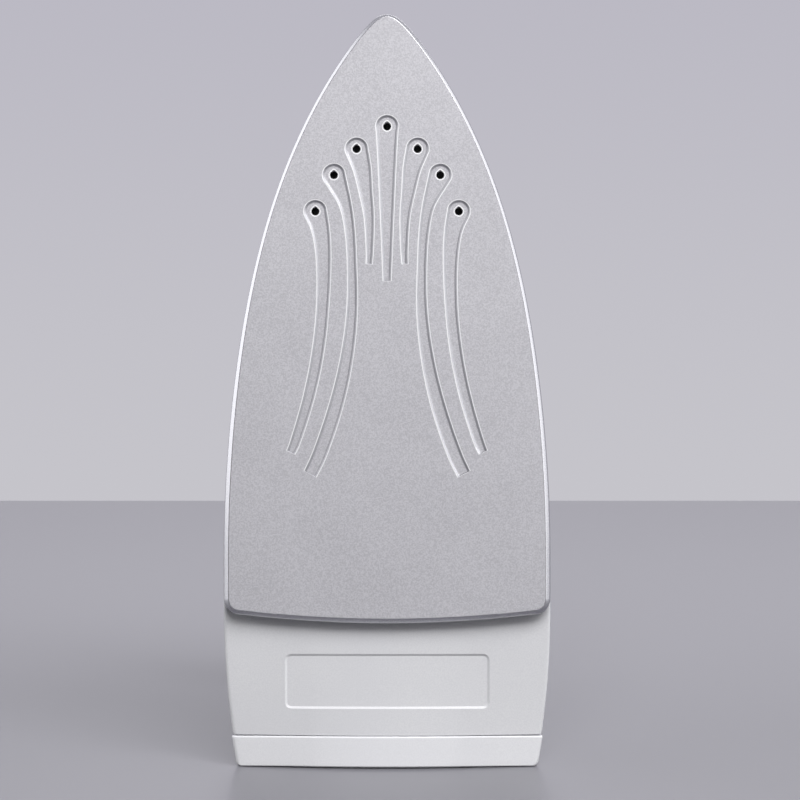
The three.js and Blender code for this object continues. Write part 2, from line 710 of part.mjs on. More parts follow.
const gripPath = new THREE.CatmullRomCurve3(
  gripPathShares.map(([back, along]) => new THREE.Vector3(0, back * grip.top, along * ironLength)),
  false,
  'catmullrom',
);
const gripSize = new THREE.CatmullRomCurve3(
  gripWidthShares.map((width, index) => new THREE.Vector3(
    width * grip.halfWidth, gripThicknessShares[index] * grip.halfThickness, 0,
  )),
  false,
  'catmullrom',
);

function gripFrame(share) {
  const middle = gripPath.getPoint(share);
  const way = gripPath.getTangent(share);
  const out = new THREE.Vector3(0, way.z, -way.y);
  return { middle, out };
}

function gripRing(share, inset) {
  const { middle, out } = gripFrame(share);
  const size = gripSize.getPoint(share);
  return circle(1, inset > 0 ? grip.innerSides : grip.sides).map((unit) => {
    const power = 2 / grip.roundExponent;
    const across = Math.sign(unit.x) * Math.abs(unit.x) ** power * (size.x - inset);
    const depth = Math.sign(unit.y) * Math.abs(unit.y) ** power * (size.y - inset);
    return middle.clone().addScaledVector(out, depth).add(new THREE.Vector3(across, 0, 0));
  });
}

function gripSolid(inset) {
  const steps = inset > 0 ? grip.innerSteps : grip.steps;
  const rings = [];
  for (let step = 0; step <= steps; step += 1) {
    rings.push(gripRing(step / steps, inset));
  }
  return loft(rings);
}

// Everything above a plane parallel to the heel's base, with an arched front edge if asked
function aboveHeel(height, arch = 0) {
  const wide = sole.halfWidth + cut;
  const outline = [];
  for (let step = 0; step <= zoneSteps; step += 1) {
    const across = (step / zoneSteps) * 2 - 1;
    outline.push([across * wide, height - arch * (across * wide / sole.halfWidth) ** 2]);
  }
  outline.push([wide, ironLength + cut], [-wide, ironLength + cut]);
  const region = plate(outline, -cut - heel.front, grip.top + 2 * cut);
  return region.rotate([lean * 180 / Math.PI, 0, 0]).translate([0, heel.front, 0]);
}

function aboveSeam(offset) {
  const wide = sole.halfWidth + cut;
  const slope = (seamTip - seamHeel) / ironLength;
  const low = -2 * cut;
  const high = ironLength + cut;
  const outline = [
    [seamHeel + slope * low + offset, low],
    [grip.top + 2 * cut, low],
    [grip.top + 2 * cut, high],
    [seamHeel + slope * high + offset, high],
  ];
  return sidePlate(outline, -wide, wide);
}

function coverZone(offset) {
  const inner = [];
  const outer = [];
  const reach = cut + offset;
  const trim = offset / ironLength;
  for (let step = 0; step <= gripCover.steps; step += 1) {
    const share = THREE.MathUtils.lerp(gripCover.fromShare - trim, gripCover.toShare + trim, step / gripCover.steps);
    const { middle, out } = gripFrame(share);
    inner.push([middle.y + out.y * (gripCover.rise - offset), middle.z + out.z * (gripCover.rise - offset)]);
    outer.unshift([middle.y + out.y * reach, middle.z + out.z * reach]);
  }
  return sidePlate(inner.concat(outer), -sole.halfWidth, sole.halfWidth);
}

// Turns a piece drawn upright about y to the gland's tilt, at its seat on the grip
function atGland(geometry, distance) {
  return solid(geometry.translate(0, distance, 0).rotateX(-gland.tilt).translate(0, glandBack, glandZ));
}

function glandPlace(distance, radius, from, to) {
  return atGland(new THREE.CylinderGeometry(radius, radius, to - from, gland.sides), (from + to) / 2 + distance);
}

const heelLine = Math.tan(lean);
const outerSolid = lowerSolid(0).add(gripSolid(0));
const innerSolid = lowerSolid(wall).add(gripSolid(wall)).intersect(aboveHeel(wall));
const casing = outerSolid.subtract(innerSolid);
const wallMiddle = lowerSolid(wall / 2).add(gripSolid(wall / 2));
const insideOnly = (body) => body.intersect(wallMiddle);

function panelRecess() {
  const { halfWidth, low, height, depth, corner, steps } = recess;
  const high = low + height;
  const corners = [[halfWidth, low], [halfWidth, high], [-halfWidth, high], [-halfWidth, low]];
  const outline = rounded(corners.map(([x, z]) => [x, z, corner, steps])).map((place) => [place.x, place.y]);
  return plate(outline, -cut, terminals.low).subtract(lowerSolid(depth));
}

function lowerHousing() {
  const opening = plate(soleOutline(skirt.wallEdge), -cut, castingLow + casting.clearance);
  const lugs = [-1, 1].map((side) => {
    const reach = [side * (rearBossX - bodyScrew.head), side * sole.halfWidth].sort((a, b) => a - b);
    const front = rearBossTop + seat;
    const tab = block(reach, [front, front + lug.thickness], [rearBossZ - lug.halfLength, rearBossZ + lug.halfLength]);
    return insideOnly(tab).subtract(post(side * rearBossX, rearBossZ, bodyScrew.bore, front - seat, front + cut));
  });
  const ribs = [-1, 1].map((side) => {
    const inner = side * (terminals.halfWidth - terminals.rib * 2);
    const sides = [inner, inner + side * terminals.rib].sort((a, b) => a - b);
    return insideOnly(block(sides, [0, terminals.low - seat], [terminals.from, terminalsEnd]));
  });
  return casing
    .subtract(aboveSeam(-seam / 2))
    .intersect(aboveHeel(heelCap.height + seam, heelCap.arch))
    .subtract(opening)
    .subtract(panelRecess())
    .add(joined(lugs.concat(ribs)));
}

function handleBody() {
  const pad = insideOnly(post(0, dialZ, dial.pad, dialFloor - dial.padThickness, dialFloor, dial.pocketSides));
  const pocket = post(0, dialZ, dial.pocket, dialFloor, dialFloor + cut, dial.pocketSides);
  const spindleHole = post(0, dialZ, spindle.radius + runningGap, 0, dialFloor + cut);
  const lensHole = plate(stadium(seat), pilotTop - pilot.lens - seat, pilotTop + cut);
  const across = insideOnly(block(
    [-sole.halfWidth, sole.halfWidth], [bridgeLevel, bridgeTop],
    [frontBossZ - bridge.halfLength, frontBossZ + bridge.halfLength],
  ));
  const low = bossTop + 2 * seat + shield.thickness;
  const boss = post(0, frontBossZ, bridge.bossRadius, low, bridgeLevel + seat);
  const bossBore = post(0, frontBossZ, bodyScrew.bore, low - seat, bridgeLevel + cut, bodyScrew.sides);
  const bossEnd = capScrew.boss + heelCap.height;
  const capBosses = [-capScrewX, capScrewX].flatMap((x) => {
    const web = block([x - wall / 2, x + wall / 2], [capScrewBack, deckHeight], [0, bossEnd]);
    return [rodAlong(x, capScrewBack, capScrew.post, 0, bossEnd), insideOnly(web)];
  });
  const capBores = [-capScrewX, capScrewX].map((x) => (
    rodAlong(x, capScrewBack, bodyScrew.bore, 0, bossEnd - wall, bodyScrew.sides)
  ));
  const half = trigger.halfWidth + slot.side;
  const triggerSlot = block(
    [-half, half], [pull.bottom - cut, pull.back], [pull.rear - slot.rear, pull.along + trigger.hub + slot.front],
  );
  const ears = [-1, 1].map((side) => {
    const sides = [side * half, side * (half + triggerPin.ear)].sort((a, b) => a - b);
    return block(
      sides, [pull.back - triggerPin.earReach, pull.back + triggerPin.earHalf],
      [pull.along - triggerPin.earHalf, pull.along + triggerPin.earHalf],
    );
  });
  const pinReach = half + triggerPin.ear;
  const pinBore = rodAcross(pull.back, pull.along, triggerPin.radius + seat, -pinReach, pinReach);
  return casing
    .intersect(aboveSeam(seam / 2))
    .add(pad)
    .add(across)
    .add(boss)
    .add(joined(capBosses))
    .intersect(aboveHeel(heelCap.height + seam, heelCap.arch))
    .subtract(triggerSlot)
    .add(insideOnly(joined(ears)))
    .subtract(coverZone(seam))
    .subtract(joined([pocket, spindleHole, lensHole, bossBore, pinBore].concat(capBores)))
    .subtract(glandPlace(-gland.flat, gland.collar + seat, 0, cut))
    .subtract(glandPlace(0, gland.sleeve + seat, -gland.tail, cut));
}

function handleCover() {
  const front = switchHigh + seat;
  const rest = insideOnly(block(
    [-grip.halfWidth, grip.halfWidth], [front, front + switchBridge.thickness],
    [switchZ - switchBridge.halfLength, switchZ + switchBridge.halfLength],
  ));
  return casing.intersect(coverZone(0)).add(rest.intersect(coverZone(0)));
}

const capBase = heelLine * (capScrewBack - heel.front);

function rearCover() {
  const outer = lowerSolid(-heelCap.lip).add(gripSolid(0)).intersect(aboveHeel(0));
  const seatAt = capBase + capScrew.headLevel + bodyScrew.headHeight + seat;
  const posts = [-capScrewX, capScrewX].map((x) => (
    rodAlong(x, capScrewBack, capScrew.post, capBase + wall / 2, capBase + heelCap.height + wall)
  ));
  const cuts = [-capScrewX, capScrewX].flatMap((x) => [
    rodAlong(x, capScrewBack, capScrew.counterbore, capBase - wall, seatAt),
    rodAlong(x, capScrewBack, bodyScrew.bore, capBase - wall, capBase + cut, bodyScrew.sides),
  ]);
  return outer
    .subtract(innerSolid)
    .add(joined(posts))
    .subtract(aboveHeel(heelCap.height, heelCap.arch))
    .subtract(joined(cuts));
}

// Pieces on the casting

function crossHeadScrew(x, z, size, headFront, bite) {
  const head = post(x, z, size.head, headFront, headFront + size.headHeight, size.sides);
  const shaft = post(x, z, size.shaft, headFront - bite, headFront + size.headHeight / 2, size.sides);
  const top = [headFront + size.headHeight - screw.slotDepth, headFront + size.headHeight + cut];
  const half = size.head * screw.slotShare;
  const slotHalf = screw.slot / 2;
  const slots = block([x - half, x + half], top, [z - slotHalf, z + slotHalf])
    .add(block([x - slotHalf, x + slotHalf], top, [z - half, z + half]));
  return head.add(shaft).subtract(slots);
}

const sealFront = castingTop + seat;
const lidFront = sealFront + chamberLid.sealThickness + seat;
const lidBack = lidFront + chamberLid.thickness;

function chamberSeal() {
  const back = sealFront + chamberLid.sealThickness;
  const middle = plate(chamberOutline(chamberLid.sealInner), sealFront - seat, back + seat);
  return plate(chamberOutline(chamberLid.edge), sealFront, back).subtract(middle);
}

function chamberCover() {
  const depths = [lidFront - seat, lidBack + seat];
  const holes = chamberScrewPlaces.map(([, x, z]) => post(x, z, screw.bore, ...depths));
  holes.push(post(0, frontBossZ, frontBoss.radius + seat, ...depths));
  holes.push(post(inletX, inletZ, steamInlet.nozzle, ...depths));
  return plate(chamberOutline(chamberLid.edge), lidFront, lidBack).subtract(joined(holes));
}

function steamElbow() {
  const front = lidBack + seat;
  const { flange, flangeHeight, riser, nozzle, reach, sides } = steamInlet;
  const foot = post(inletX, inletZ, flange, front, front + flangeHeight);
  const upright = post(inletX, inletZ, riser, front, inletLevel + riser);
  const spout = rodAlong(inletX, inletLevel, nozzle, inletZ - reach, inletZ, sides);
  const bore = post(inletX, inletZ, nozzle / 2, front - seat, inletLevel, sides);
  const way = rodAlong(inletX, inletLevel, nozzle / 2, inletZ - cut, inletZ, sides);
  return joined([foot, upright, spout]).subtract(bore).subtract(way);
}

function innerHose() {
  const spoutEnd = inletZ - steamInlet.reach;
  const tail = gland.flat + gland.tail + seat;
  const end = [glandBack - tail * Math.cos(gland.tilt), glandZ + tail * Math.sin(gland.tilt)];
  const bend = hoseShares.map(([across, back, along]) => (
    [inletX * across, THREE.MathUtils.lerp(inletLevel, end[0], back), along * ironLength]
  ));
  const route = [
    [inletX, inletLevel, spoutEnd + steamHose.grip], [inletX, inletLevel, spoutEnd - steamHose.radius], ...bend,
    [0, end[0] - steamHose.bore, end[1] + steamHose.bore * gland.tilt], [0, ...end],
  ];
  return tube(throughPoints(route), steamHose.radius, steamHose.sides, steamHose.steps, steamHose.bore);
}

const thermostatZ = dialZ - thermostat.fromDial;
const stackZ = thermostatZ - thermostat.halfLength + thermostat.stack;

function thermostatBody() {
  const { halfWidth, halfLength, base, stack, stackHeight, nut, nutSides } = thermostat;
  const front = castingTop + seat;
  const top = front + base + stackHeight;
  const ends = [thermostatZ - halfLength, thermostatZ + halfLength];
  const foot = block([-halfWidth, halfWidth], [front, front + base], ends);
  const pile = post(0, stackZ, stack, front, top);
  const bracket = block([-stack, stack], [top - base, top], [stackZ, dialZ + nut]);
  return joined([foot, pile, bracket, post(0, dialZ, nut, top - base, bossTop - seat, nutSides)]);
}

function bimetalBlade() {
  const z = stackZ + thermostat.stack + seat;
  const front = castingTop + seat + thermostat.base + seat;
  const ends = [z, z + blade.reach - thermostat.stack];
  return block([-blade.halfWidth, blade.halfWidth], [front, front + blade.thickness], ends);
}

function adjustingSpindle() {
  const top = dialFloor + spindle.reach;
  const rod = post(0, dialZ, spindle.radius, bossTop, top);
  const flatAt = spindle.radius * spindle.flatShare;
  return rod.subtract(block([flatAt, cut], [dialFloor + seat, top + cut], [dialZ - cut, dialZ + cut]));
}

const fuseX = acrossSole(fuse.acrossShare);
const fuseZ = alongSole(fuse.alongShare);
const fuseLevel = castingTop + 2 * seat + clip.thickness + fuse.radius;

function thermalFuse() {
  return rodAlong(fuseX, fuseLevel, fuse.radius, fuseZ - fuse.halfLength, fuseZ + fuse.halfLength, fuse.sides);
}

function fuseClip() {
  const front = castingTop + seat;
  const ends = [fuseZ - clip.halfLength, fuseZ + clip.halfLength];
  const outer = fuse.radius + seat + clip.thickness;
  const band = rodAlong(fuseX, fuseLevel, outer, ...ends, fuse.sides);
  const feet = block([fuseX - outer, fuseX + outer + clip.foot], [front, front + clip.thickness], ends);
  const bore = rodAlong(fuseX, fuseLevel, fuse.radius + seat, ends[0] - seat, ends[1] + seat, fuse.sides);
  return band.add(feet).subtract(bore);
}

function heatShield() {
  const outline = flankOutline(shield.edge, shield.fromShare * sole.length, shield.toShare * sole.length, shield.steps);
  const front = bossTop + seat;
  const sheet = plate(outline, front, front + shield.thickness);
  const holes = [
    post(0, frontBossZ, bodyScrew.bore, front - seat, front + cut),
    post(0, dialZ, spindle.radius + runningGap, front - seat, front + cut),
    post(inletX, inletZ, steamInlet.riser + seat, front - seat, front + cut),
  ];
  return sheet.intersect(lowerSolid(wall + casting.clearance)).subtract(joined(holes));
}

// Dial, lamp, wiring

function dialRing(inset, y) {
  return circle(1, dial.ridges * 2).map((unit, step) => {
    const reach = dial.radius - inset - (step % 2 ? dial.ridgeHeight : 0);
    return new THREE.Vector3(unit.x * reach, y, dialZ + unit.y * reach);
  });
}

function temperatureDial() {
  const front = dialFloor + seat;
  const back = front + dial.height;
  const knob = loft([dialRing(0, front), dialRing(0, back - dial.rimRound), dialRing(dial.rimRound, back)]);
  const bar = block([-dial.barHalf, dial.barHalf], [front, back + dial.barHeight],
    [dialZ - dial.barReach, dialZ + dial.barReach]);
  const bore = post(0, dialZ, spindle.radius + seat, front - cut, dialFloor + spindle.reach + seat);
  return knob.add(bar).subtract(bore);
}

function stadium(grow) {
  const outline = [];
  for (const side of [1, -1]) {
    for (let step = 0; step <= pilot.steps; step += 1) {
      const angle = Math.PI * (step / pilot.steps - 0.5);
      const reach = (pilot.radius + grow) * side;
      outline.push([side * pilot.halfWidth + reach * Math.cos(angle), pilotZ + reach * Math.sin(angle)]);
    }
  }
  return outline;
}

function pilotLens() {
  return plate(stadium(0), pilotTop - pilot.lens, pilotTop + pilot.proud);
}

function pilotLamp() {
  const back = pilotTop - pilot.lens - seat;
  return post(0, pilotZ, pilot.lampRadius, back - pilot.lampLength, back);
}

const leadLevel = terminals.low + terminals.height / 2;

function terminalBlock() {
  const { halfWidth, low, from, screws, pitch, bore, sides } = terminals;
  const box = block([-halfWidth, halfWidth], [low, terminalsHigh], [from, terminalsEnd]);
  const bores = [];
  for (let index = 0; index < screws; index += 1) {
    const x = (index - (screws - 1) / 2) * pitch;
    bores.push(rodAlong(x, leadLevel, bore, from - seat, terminalsEnd + seat, sides));
    bores.push(post(x, (from + terminalsEnd) / 2, bore, leadLevel, terminalsHigh + seat, sides));
  }
  return box.subtract(joined(bores));
}

// A lead from its screw in the terminal block to the end of its way
function innerLead(x, end, rowShares) {
  const start = [x, leadLevel, terminalsEnd + lead.straight];
  const bend = rowShares.map(([along, across, rise]) => [
    THREE.MathUtils.lerp(start[0], end[0], across),
    THREE.MathUtils.lerp(start[1], end[1], along) + lead.rise * rise,
    THREE.MathUtils.lerp(start[2], end[2], along),
  ]);
  const route = [[x, leadLevel, terminalsEnd - lead.grip], start, ...bend, end];
  return tube(throughPoints(route), lead.radius, lead.sides, lead.steps);
}

// Gland, trigger, switch

function hoseGland() {
  const { bore, sleeve, collar, collarHeight, tail, reach, ribs, ribDepth, valleyShare } = gland;
  const profile = [[bore, -tail], [sleeve, -tail], [sleeve, seat], [collar, seat], [collar, collarHeight]];
  const pitch = (reach - collarHeight) / ribs;
  for (let rib = 0; rib < ribs; rib += 1) {
    const start = collarHeight + rib * pitch;
    const valley = THREE.MathUtils.lerp(sleeve, gland.tip, rib / (ribs - 1));
    profile.push([valley, start], [valley, start + pitch * valleyShare]);
    profile.push([valley + ribDepth, start + pitch * valleyShare], [valley + ribDepth, start + pitch]);
  }
  profile.push([bore, reach], [bore, -tail]);
  const places = profile.map(([radius, height]) => new THREE.Vector2(radius, height));
  return atGland(new THREE.LatheGeometry(places, gland.sides), -gland.flat);
}

function glandClamp() {
  const from = -gland.flat - clamp.from - clamp.thickness;
  const ring = glandPlace(0, clamp.radius, from, from + clamp.thickness);
  return ring.subtract(glandPlace(0, gland.sleeve + seat, from - cut, from + cut));
}

// A finger lever with a hollowed pull; each corner has its own rounding
function steamTrigger() {
  const { hub, cheek, halfWidth } = trigger;
  const corners = [
    [pull.back + hub, pull.along + hub, hub, 4],
    [pull.top, pull.along - hub, hub / 2, 1],
    [pull.top, pull.rear, hub / 4, 1],
    [pull.back - hub, pull.rear, hub / 2, 1],
    [pull.bottom + hub, pull.rear + hub / 2, hub / 2, 2],
    [pull.bottom, pull.rear + 2 * hub, 2 * hub, 4],
    [pull.bottom + hub / 2, pull.along - 3 * hub, 2 * hub, 4],
    [pull.back - 2 * hub, pull.along, hub, 2],
    [pull.back - hub, pull.along + hub, hub, 2],
  ];
  const profile = rounded(corners).map((place) => [place.x, place.y]);
  const lever = sidePlate(profile, -halfWidth, halfWidth);
  const window = block([-cheek, cheek], [pull.back - hub, pull.back + cut], [pull.along - hub, pull.along + cut]);
  const bore = rodAcross(pull.back, pull.along, triggerPin.radius + seat, -cut, cut);
  return lever.subtract(window).subtract(bore);
}

function pivotPin() {
  const half = trigger.halfWidth + slot.side + triggerPin.ear - seat;
  return rodAcross(pull.back, pull.along, triggerPin.radius, -half, half, triggerPin.sides);
}

class TorsionWire extends THREE.Curve {
  getPoint(share) {
    const angle = share * torsionSpring.turns * 2 * Math.PI;
    const width = 2 * (trigger.cheek - torsionSpring.wire - seat);
    return new THREE.Vector3(
      (share - 0.5) * width,
      pull.back + torsionSpring.coil * Math.cos(angle),
      pull.along + torsionSpring.coil * Math.sin(angle),
    );
  }
}

function triggerSpring() {
  return tube(new TorsionWire(), torsionSpring.wire, torsionSpring.sides, torsionSpring.turns * torsionSpring.perTurn);
}

function switchBody() {
  const { halfWidth, halfLength, plunger, fromPivot } = microswitch;
  const box = block([-halfWidth, halfWidth], [switchLow, switchHigh], [switchZ - halfLength, switchZ + halfLength]);
  const travel = fromPivot * Math.sin(trigger.travel);
  return box.subtract(post(0, switchZ, plunger + seat, switchLow - seat, plungerTop + travel + seat));
}

function switchPlunger() {
  return post(0, switchZ, microswitch.plunger, pull.top + seat, plungerTop);
}

// Assembly

const finishes = {
  aluminium: [0xb9b8bc, 0.42, 1],
  steel: [0xa9a9ab, 0.35, 1],
  brass: [0xb08d4a, 0.4, 1],
  white: [0xdcdce0, 0.38, 0],
  grey: [0x6f7278, 0.65, 0],
  dark: [0x2b2c30, 0.6, 0],
  clear: [0xd06a2c, 0.15, 0],
  ceramic: [0xe6e2d6, 0.7, 0],
  silicone: [0xc9c4bb, 0.7, 0],
};

const iron = new THREE.Group();

function add(name, finish, body) {
  const [color, roughness, metalness] = finishes[finish];
  const material = new THREE.MeshStandardMaterial({ color, roughness, metalness });
  const mesh = new THREE.Mesh(geometryOf(body), material);
  mesh.name = name;
  iron.add(mesh);
}

function capScrewBody(side) {
  const bite = capScrew.boss - wall;
  const upright = crossHeadScrew(0, 0, bodyScrew, 0, bite).rotate([-90, 0, 0]);
  return upright.translate([side * capScrewX, capScrewBack, capBase + capScrew.headLevel + bodyScrew.headHeight]);
}

add('soleplate', 'aluminium', soleplate());
add('heating_element', 'steel', tube(elementCurve(), element.radius, element.sides, element.steps));
for (const [name, side] of [['left', -1], ['right', 1]]) {
  const front = riserTop + seat;
  const pin = post(side * riserX, riserZ, pinTerminal.radius, front, front + pinTerminal.height, pinTerminal.sides);
  add(`element_terminal_${name}`, 'steel', pin);
}
add('chamber_seal', 'silicone', chamberSeal());
add('chamber_cover', 'steel', chamberCover());
for (const [name, x, z] of chamberScrewPlaces) {
  add(name, 'steel', crossHeadScrew(x, z, screw, lidBack + seat, screw.bite));
}
add('steam_inlet_elbow', 'brass', steamElbow());
add('inner_steam_hose', 'silicone', innerHose());
add('thermostat', 'ceramic', thermostatBody());
add('bimetal_blade', 'steel', bimetalBlade());
add('adjusting_spindle', 'brass', adjustingSpindle());
add('temperature_dial', 'grey', temperatureDial());
add('thermal_fuse', 'ceramic', thermalFuse());
add('fuse_clip', 'steel', fuseClip());
add('heat_shield', 'aluminium', heatShield());
add('pilot_lens', 'clear', pilotLens());
add('pilot_lamp', 'clear', pilotLamp());
add('terminal_block', 'dark', terminalBlock());
const stackSide = stackZ - thermostat.stack - seat;
const stackLevel = castingTop + thermostat.base + thermostat.stackHeight / 2;
const pinSide = [riserX - lead.reach, riserTop + lead.rise, riserZ - lead.reach];
const earthSide = [earthX, earthTop - pinTerminal.radius, earthZ - earthPost.radius - seat];
add('live_lead', 'dark', innerLead(terminals.pitch, [0, stackLevel, stackSide], liveShares));
add('neutral_lead', 'dark', innerLead(0, pinSide, neutralShares));
add('earth_lead', 'dark', innerLead(-terminals.pitch, earthSide, earthShares));
add('lower_housing', 'white', lowerHousing());
add('handle_body', 'white', handleBody());
add('handle_cover', 'grey', handleCover());
add('rear_cover', 'white', rearCover());
add('handle_screw_front', 'steel', crossHeadScrew(
  0, frontBossZ, bodyScrew, bridgeTop + seat, bridgeTop + seat - bossTop + bodyScrew.bite,
));
for (const [name, side] of [['left', -1], ['right', 1]]) {
  const headFront = rearBossTop + lug.thickness + 2 * seat;
  add(`sole_screw_${name}`, 'steel', crossHeadScrew(
    side * rearBossX, rearBossZ, bodyScrew, headFront, headFront - rearBossTop + bodyScrew.bite,
  ));
  add(`rear_cover_screw_${name}`, 'steel', capScrewBody(side));
}
add('hose_gland', 'dark', hoseGland());
add('gland_clamp', 'dark', glandClamp());
add('steam_trigger', 'grey', steamTrigger());
add('trigger_pin', 'steel', pivotPin());
add('trigger_spring', 'steel', triggerSpring());
add('microswitch', 'dark', switchBody());
add('switch_plunger', 'grey', switchPlunger());

// Stand the iron on its heel, with the middle of the heel's base at the origin
iron.rotation.x = -lean;
iron.position.set(
  0,
  -heel.front * Math.cos(lean) - heel.baseDepth / 2 / Math.cos(lean),
  heel.front * Math.sin(lean),
);

const group = new THREE.Group();
group.add(iron);

export default group;
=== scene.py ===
import json
import math

import bmesh
import bpy
from mathutils import Matrix, Vector


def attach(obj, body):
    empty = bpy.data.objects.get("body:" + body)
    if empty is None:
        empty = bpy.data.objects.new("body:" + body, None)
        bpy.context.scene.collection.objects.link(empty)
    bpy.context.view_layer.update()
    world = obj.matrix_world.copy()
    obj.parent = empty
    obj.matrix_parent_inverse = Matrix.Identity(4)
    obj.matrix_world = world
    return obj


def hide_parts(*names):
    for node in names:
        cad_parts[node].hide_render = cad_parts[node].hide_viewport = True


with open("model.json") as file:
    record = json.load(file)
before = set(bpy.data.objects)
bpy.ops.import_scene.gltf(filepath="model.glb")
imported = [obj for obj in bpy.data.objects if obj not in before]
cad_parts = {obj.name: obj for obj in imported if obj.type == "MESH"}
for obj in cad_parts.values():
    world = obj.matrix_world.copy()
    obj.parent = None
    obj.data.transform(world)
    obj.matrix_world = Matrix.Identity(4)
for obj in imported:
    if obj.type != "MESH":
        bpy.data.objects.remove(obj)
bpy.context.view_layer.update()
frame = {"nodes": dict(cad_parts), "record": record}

# Sizes are in millimetres in the iron's own frame: x across, y back from the ironing face, z from heel
# to tip. STAND leans that frame back onto its heel and turns it into metres.
LENGTH = 275.5
HALF = 59.7
LEAN = math.radians(6)
BASE_DEPTH = 103
HEEL_FRONT = 5
HEEL_MIDDLE = HEEL_FRONT * math.cos(LEAN) + BASE_DEPTH / 2 / math.cos(LEAN)
STAND = (
    Matrix.Scale(0.001, 4)
    @ Matrix.Translation((0, -HEEL_MIDDLE, HEEL_FRONT * math.sin(LEAN)))
    @ Matrix.Rotation(-LEAN, 4, "X")
)
UNSTAND = STAND.inverted()

WALL = 2.6
SEAT = 0.3
SEAM = 0.4

# How far the cutting shapes reach past what they cut, and past the iron
SIDE_ROOM = 30
SIDE_REACH, FRONT_REACH, BACK_REACH, TOP_REACH = 90, -60, 200, 400


# Curves and outlines


def along(points, share, power=0.25):
    """A place on a smooth curve through the points."""
    place = share * (len(points) - 1)
    index = min(int(place), len(points) - 2)
    weight = place - index
    start, end = points[index], points[index + 1]
    before = points[index - 1] if index > 0 else points[0] * 2 - points[1]
    after = points[index + 2] if index + 2 < len(points) else points[-1] * 2 - points[-2]
    first, middle, last = [
        max((far - near).length_squared ** power, 1e-4)
        for near, far in ((before, start), (start, end), (end, after))
    ]
    leave = ((start - before) / first - (end - before) / (first + middle)) * middle + (end - start)
    arrive = (end - start) - ((after - start) / (middle + last) - (after - end) / last) * middle
    return (
        start
        + leave * weight
        + ((end - start) * 3 - leave * 2 - arrive) * weight**2
        + ((start - end) * 2 + leave + arrive) * weight**3
    )


def from_table(rows, place):
    """A smooth value from rows of (place, value)."""
    found = next((i for i, row in enumerate(rows) if row[0] > place), len(rows) - 1)
    found = max(found, 1)
    (t0, v0), (t1, v1), (t2, v2), (t3, v3) = [
        rows[min(max(found + step, 0), len(rows) - 1)] for step in (-2, -1, 0, 1)
    ]
    span = t2 - t1
    t = min(max((place - t1) / span, 0), 1)
    slope1 = (v2 - v0) / (t2 - t0) * span
    slope2 = (v3 - v1) / (t3 - t1) * span
    return (
        (2 * t**3 - 3 * t**2 + 1) * v1
        + (t**3 - 2 * t**2 + t) * slope1
        + (3 * t**2 - 2 * t**3) * v2
        + (t**3 - t**2) * slope2
    )


def smooth_share(low, high, value):
    share = min(max((value - low) / (high - low), 0), 1)
    return share * share * (3 - 2 * share)


def mix(first, second, share):
    return first + (second - first) * share


# The sole's half width is a sum of powers of the root of the distance from the tip
FLANK_SHARES = (0.8989, -1.814, 12.6078, -23.7919, 18.522, -5.4228)
SOLE_LENGTH = 222.1
TAPER = 0.887 * SOLE_LENGTH
SOLE_THICK = 4.8
SOLE_CORNER, LEAST_CORNER = 6, 1.5
TIP_BEVEL = 0.65
BEVEL_GROWS_FROM, BEVEL_GROWS_TO = 60, 190
REAR_RISE = 3.2


def sole_half(from_tip):
    """Half the soleplate's width at a distance from its tip."""
    root = math.sqrt(min(max(from_tip / TAPER, 0), 1))
    return HALF * sum(share * root ** (power + 1) for power, share in enumerate(FLANK_SHARES))


def inset_half(from_tip, inset, step=0.5):
    """Half the width of the outline drawn in by inset."""
    near = max(from_tip - step, 0)
    slope = (sole_half(from_tip + step) - sole_half(near)) / (from_tip + step - near)
    return sole_half(from_tip) - inset * math.sqrt(1 + slope * slope)


def nose_of(inset):
    """How far from the tip an outline drawn in by inset starts."""
    if inset <= 0:
        return 0
    low, high = 0, TAPER / 2
    for _ in range(40):
        middle = (low + high) / 2
        if inset_half(middle, inset) > 0:
            high = middle
        else:
            low = middle
    return high


def mirrored(right):
    return right + [(-x, z) for x, z in reversed(right[1:-1])]


def bevel_share(from_tip, at_tip=TIP_BEVEL):
    """How large the bevel is: smaller towards the tip."""
    return mix(at_tip, 1, smooth_share(BEVEL_GROWS_FROM, BEVEL_GROWS_TO, from_tip))


def sole_outline(inset, at_tip=1, sides=110, corner_steps=14, rear_steps=24):
    """The sole's outline drawn in by inset, and by the share at_tip of it at the tip."""
    radius = max(SOLE_CORNER - inset, LEAST_CORNER)
    rear = LENGTH - SOLE_LENGTH + inset
    corner = (HALF - inset - radius, rear + REAR_RISE + radius)
    nose = nose_of(inset * at_tip)
    flank = LENGTH - corner[1] - nose
    right = []
    for step in range(sides + 1):
        from_tip = nose + flank * (step / sides) ** 2
        half = inset_half(from_tip, inset * bevel_share(from_tip, at_tip))
        right.append((half if step else 0, LENGTH - from_tip))
    for step in range(1, corner_steps + 1):
        angle = step / corner_steps * math.pi / 2
        right.append((corner[0] + radius * math.cos(angle), corner[1] - radius * math.sin(angle)))
    for step in reversed(range(rear_steps)):
        share = step / rear_steps
        right.append((corner[0] * share, rear + REAR_RISE * share * share))
    return mirrored(right)


def level(outline, y):
    return [Vector((x, y, z)) for x, z in outline]


# Meshes


def loft(rings):
    """A closed skin over rings of equal count."""
    bm = bmesh.new()
    loops = []
    for ring in rings:
        verts = [bm.verts.new(point) for point in ring]
        loops.append(verts)
    edges = [
        [bm.edges.new((verts[i - 1], verts[i])) for i in range(len(verts))]
        for verts in loops
    ]
    for near, far in zip(edges, edges[1:]):
        bmesh.ops.bridge_loops(bm, edges=near + far)
    for ends in (edges[0], edges[-1]):
        bmesh.ops.edgeloop_fill(bm, edges=ends)
    bmesh.ops.recalc_face_normals(bm, faces=bm.faces)
    return made(bm)


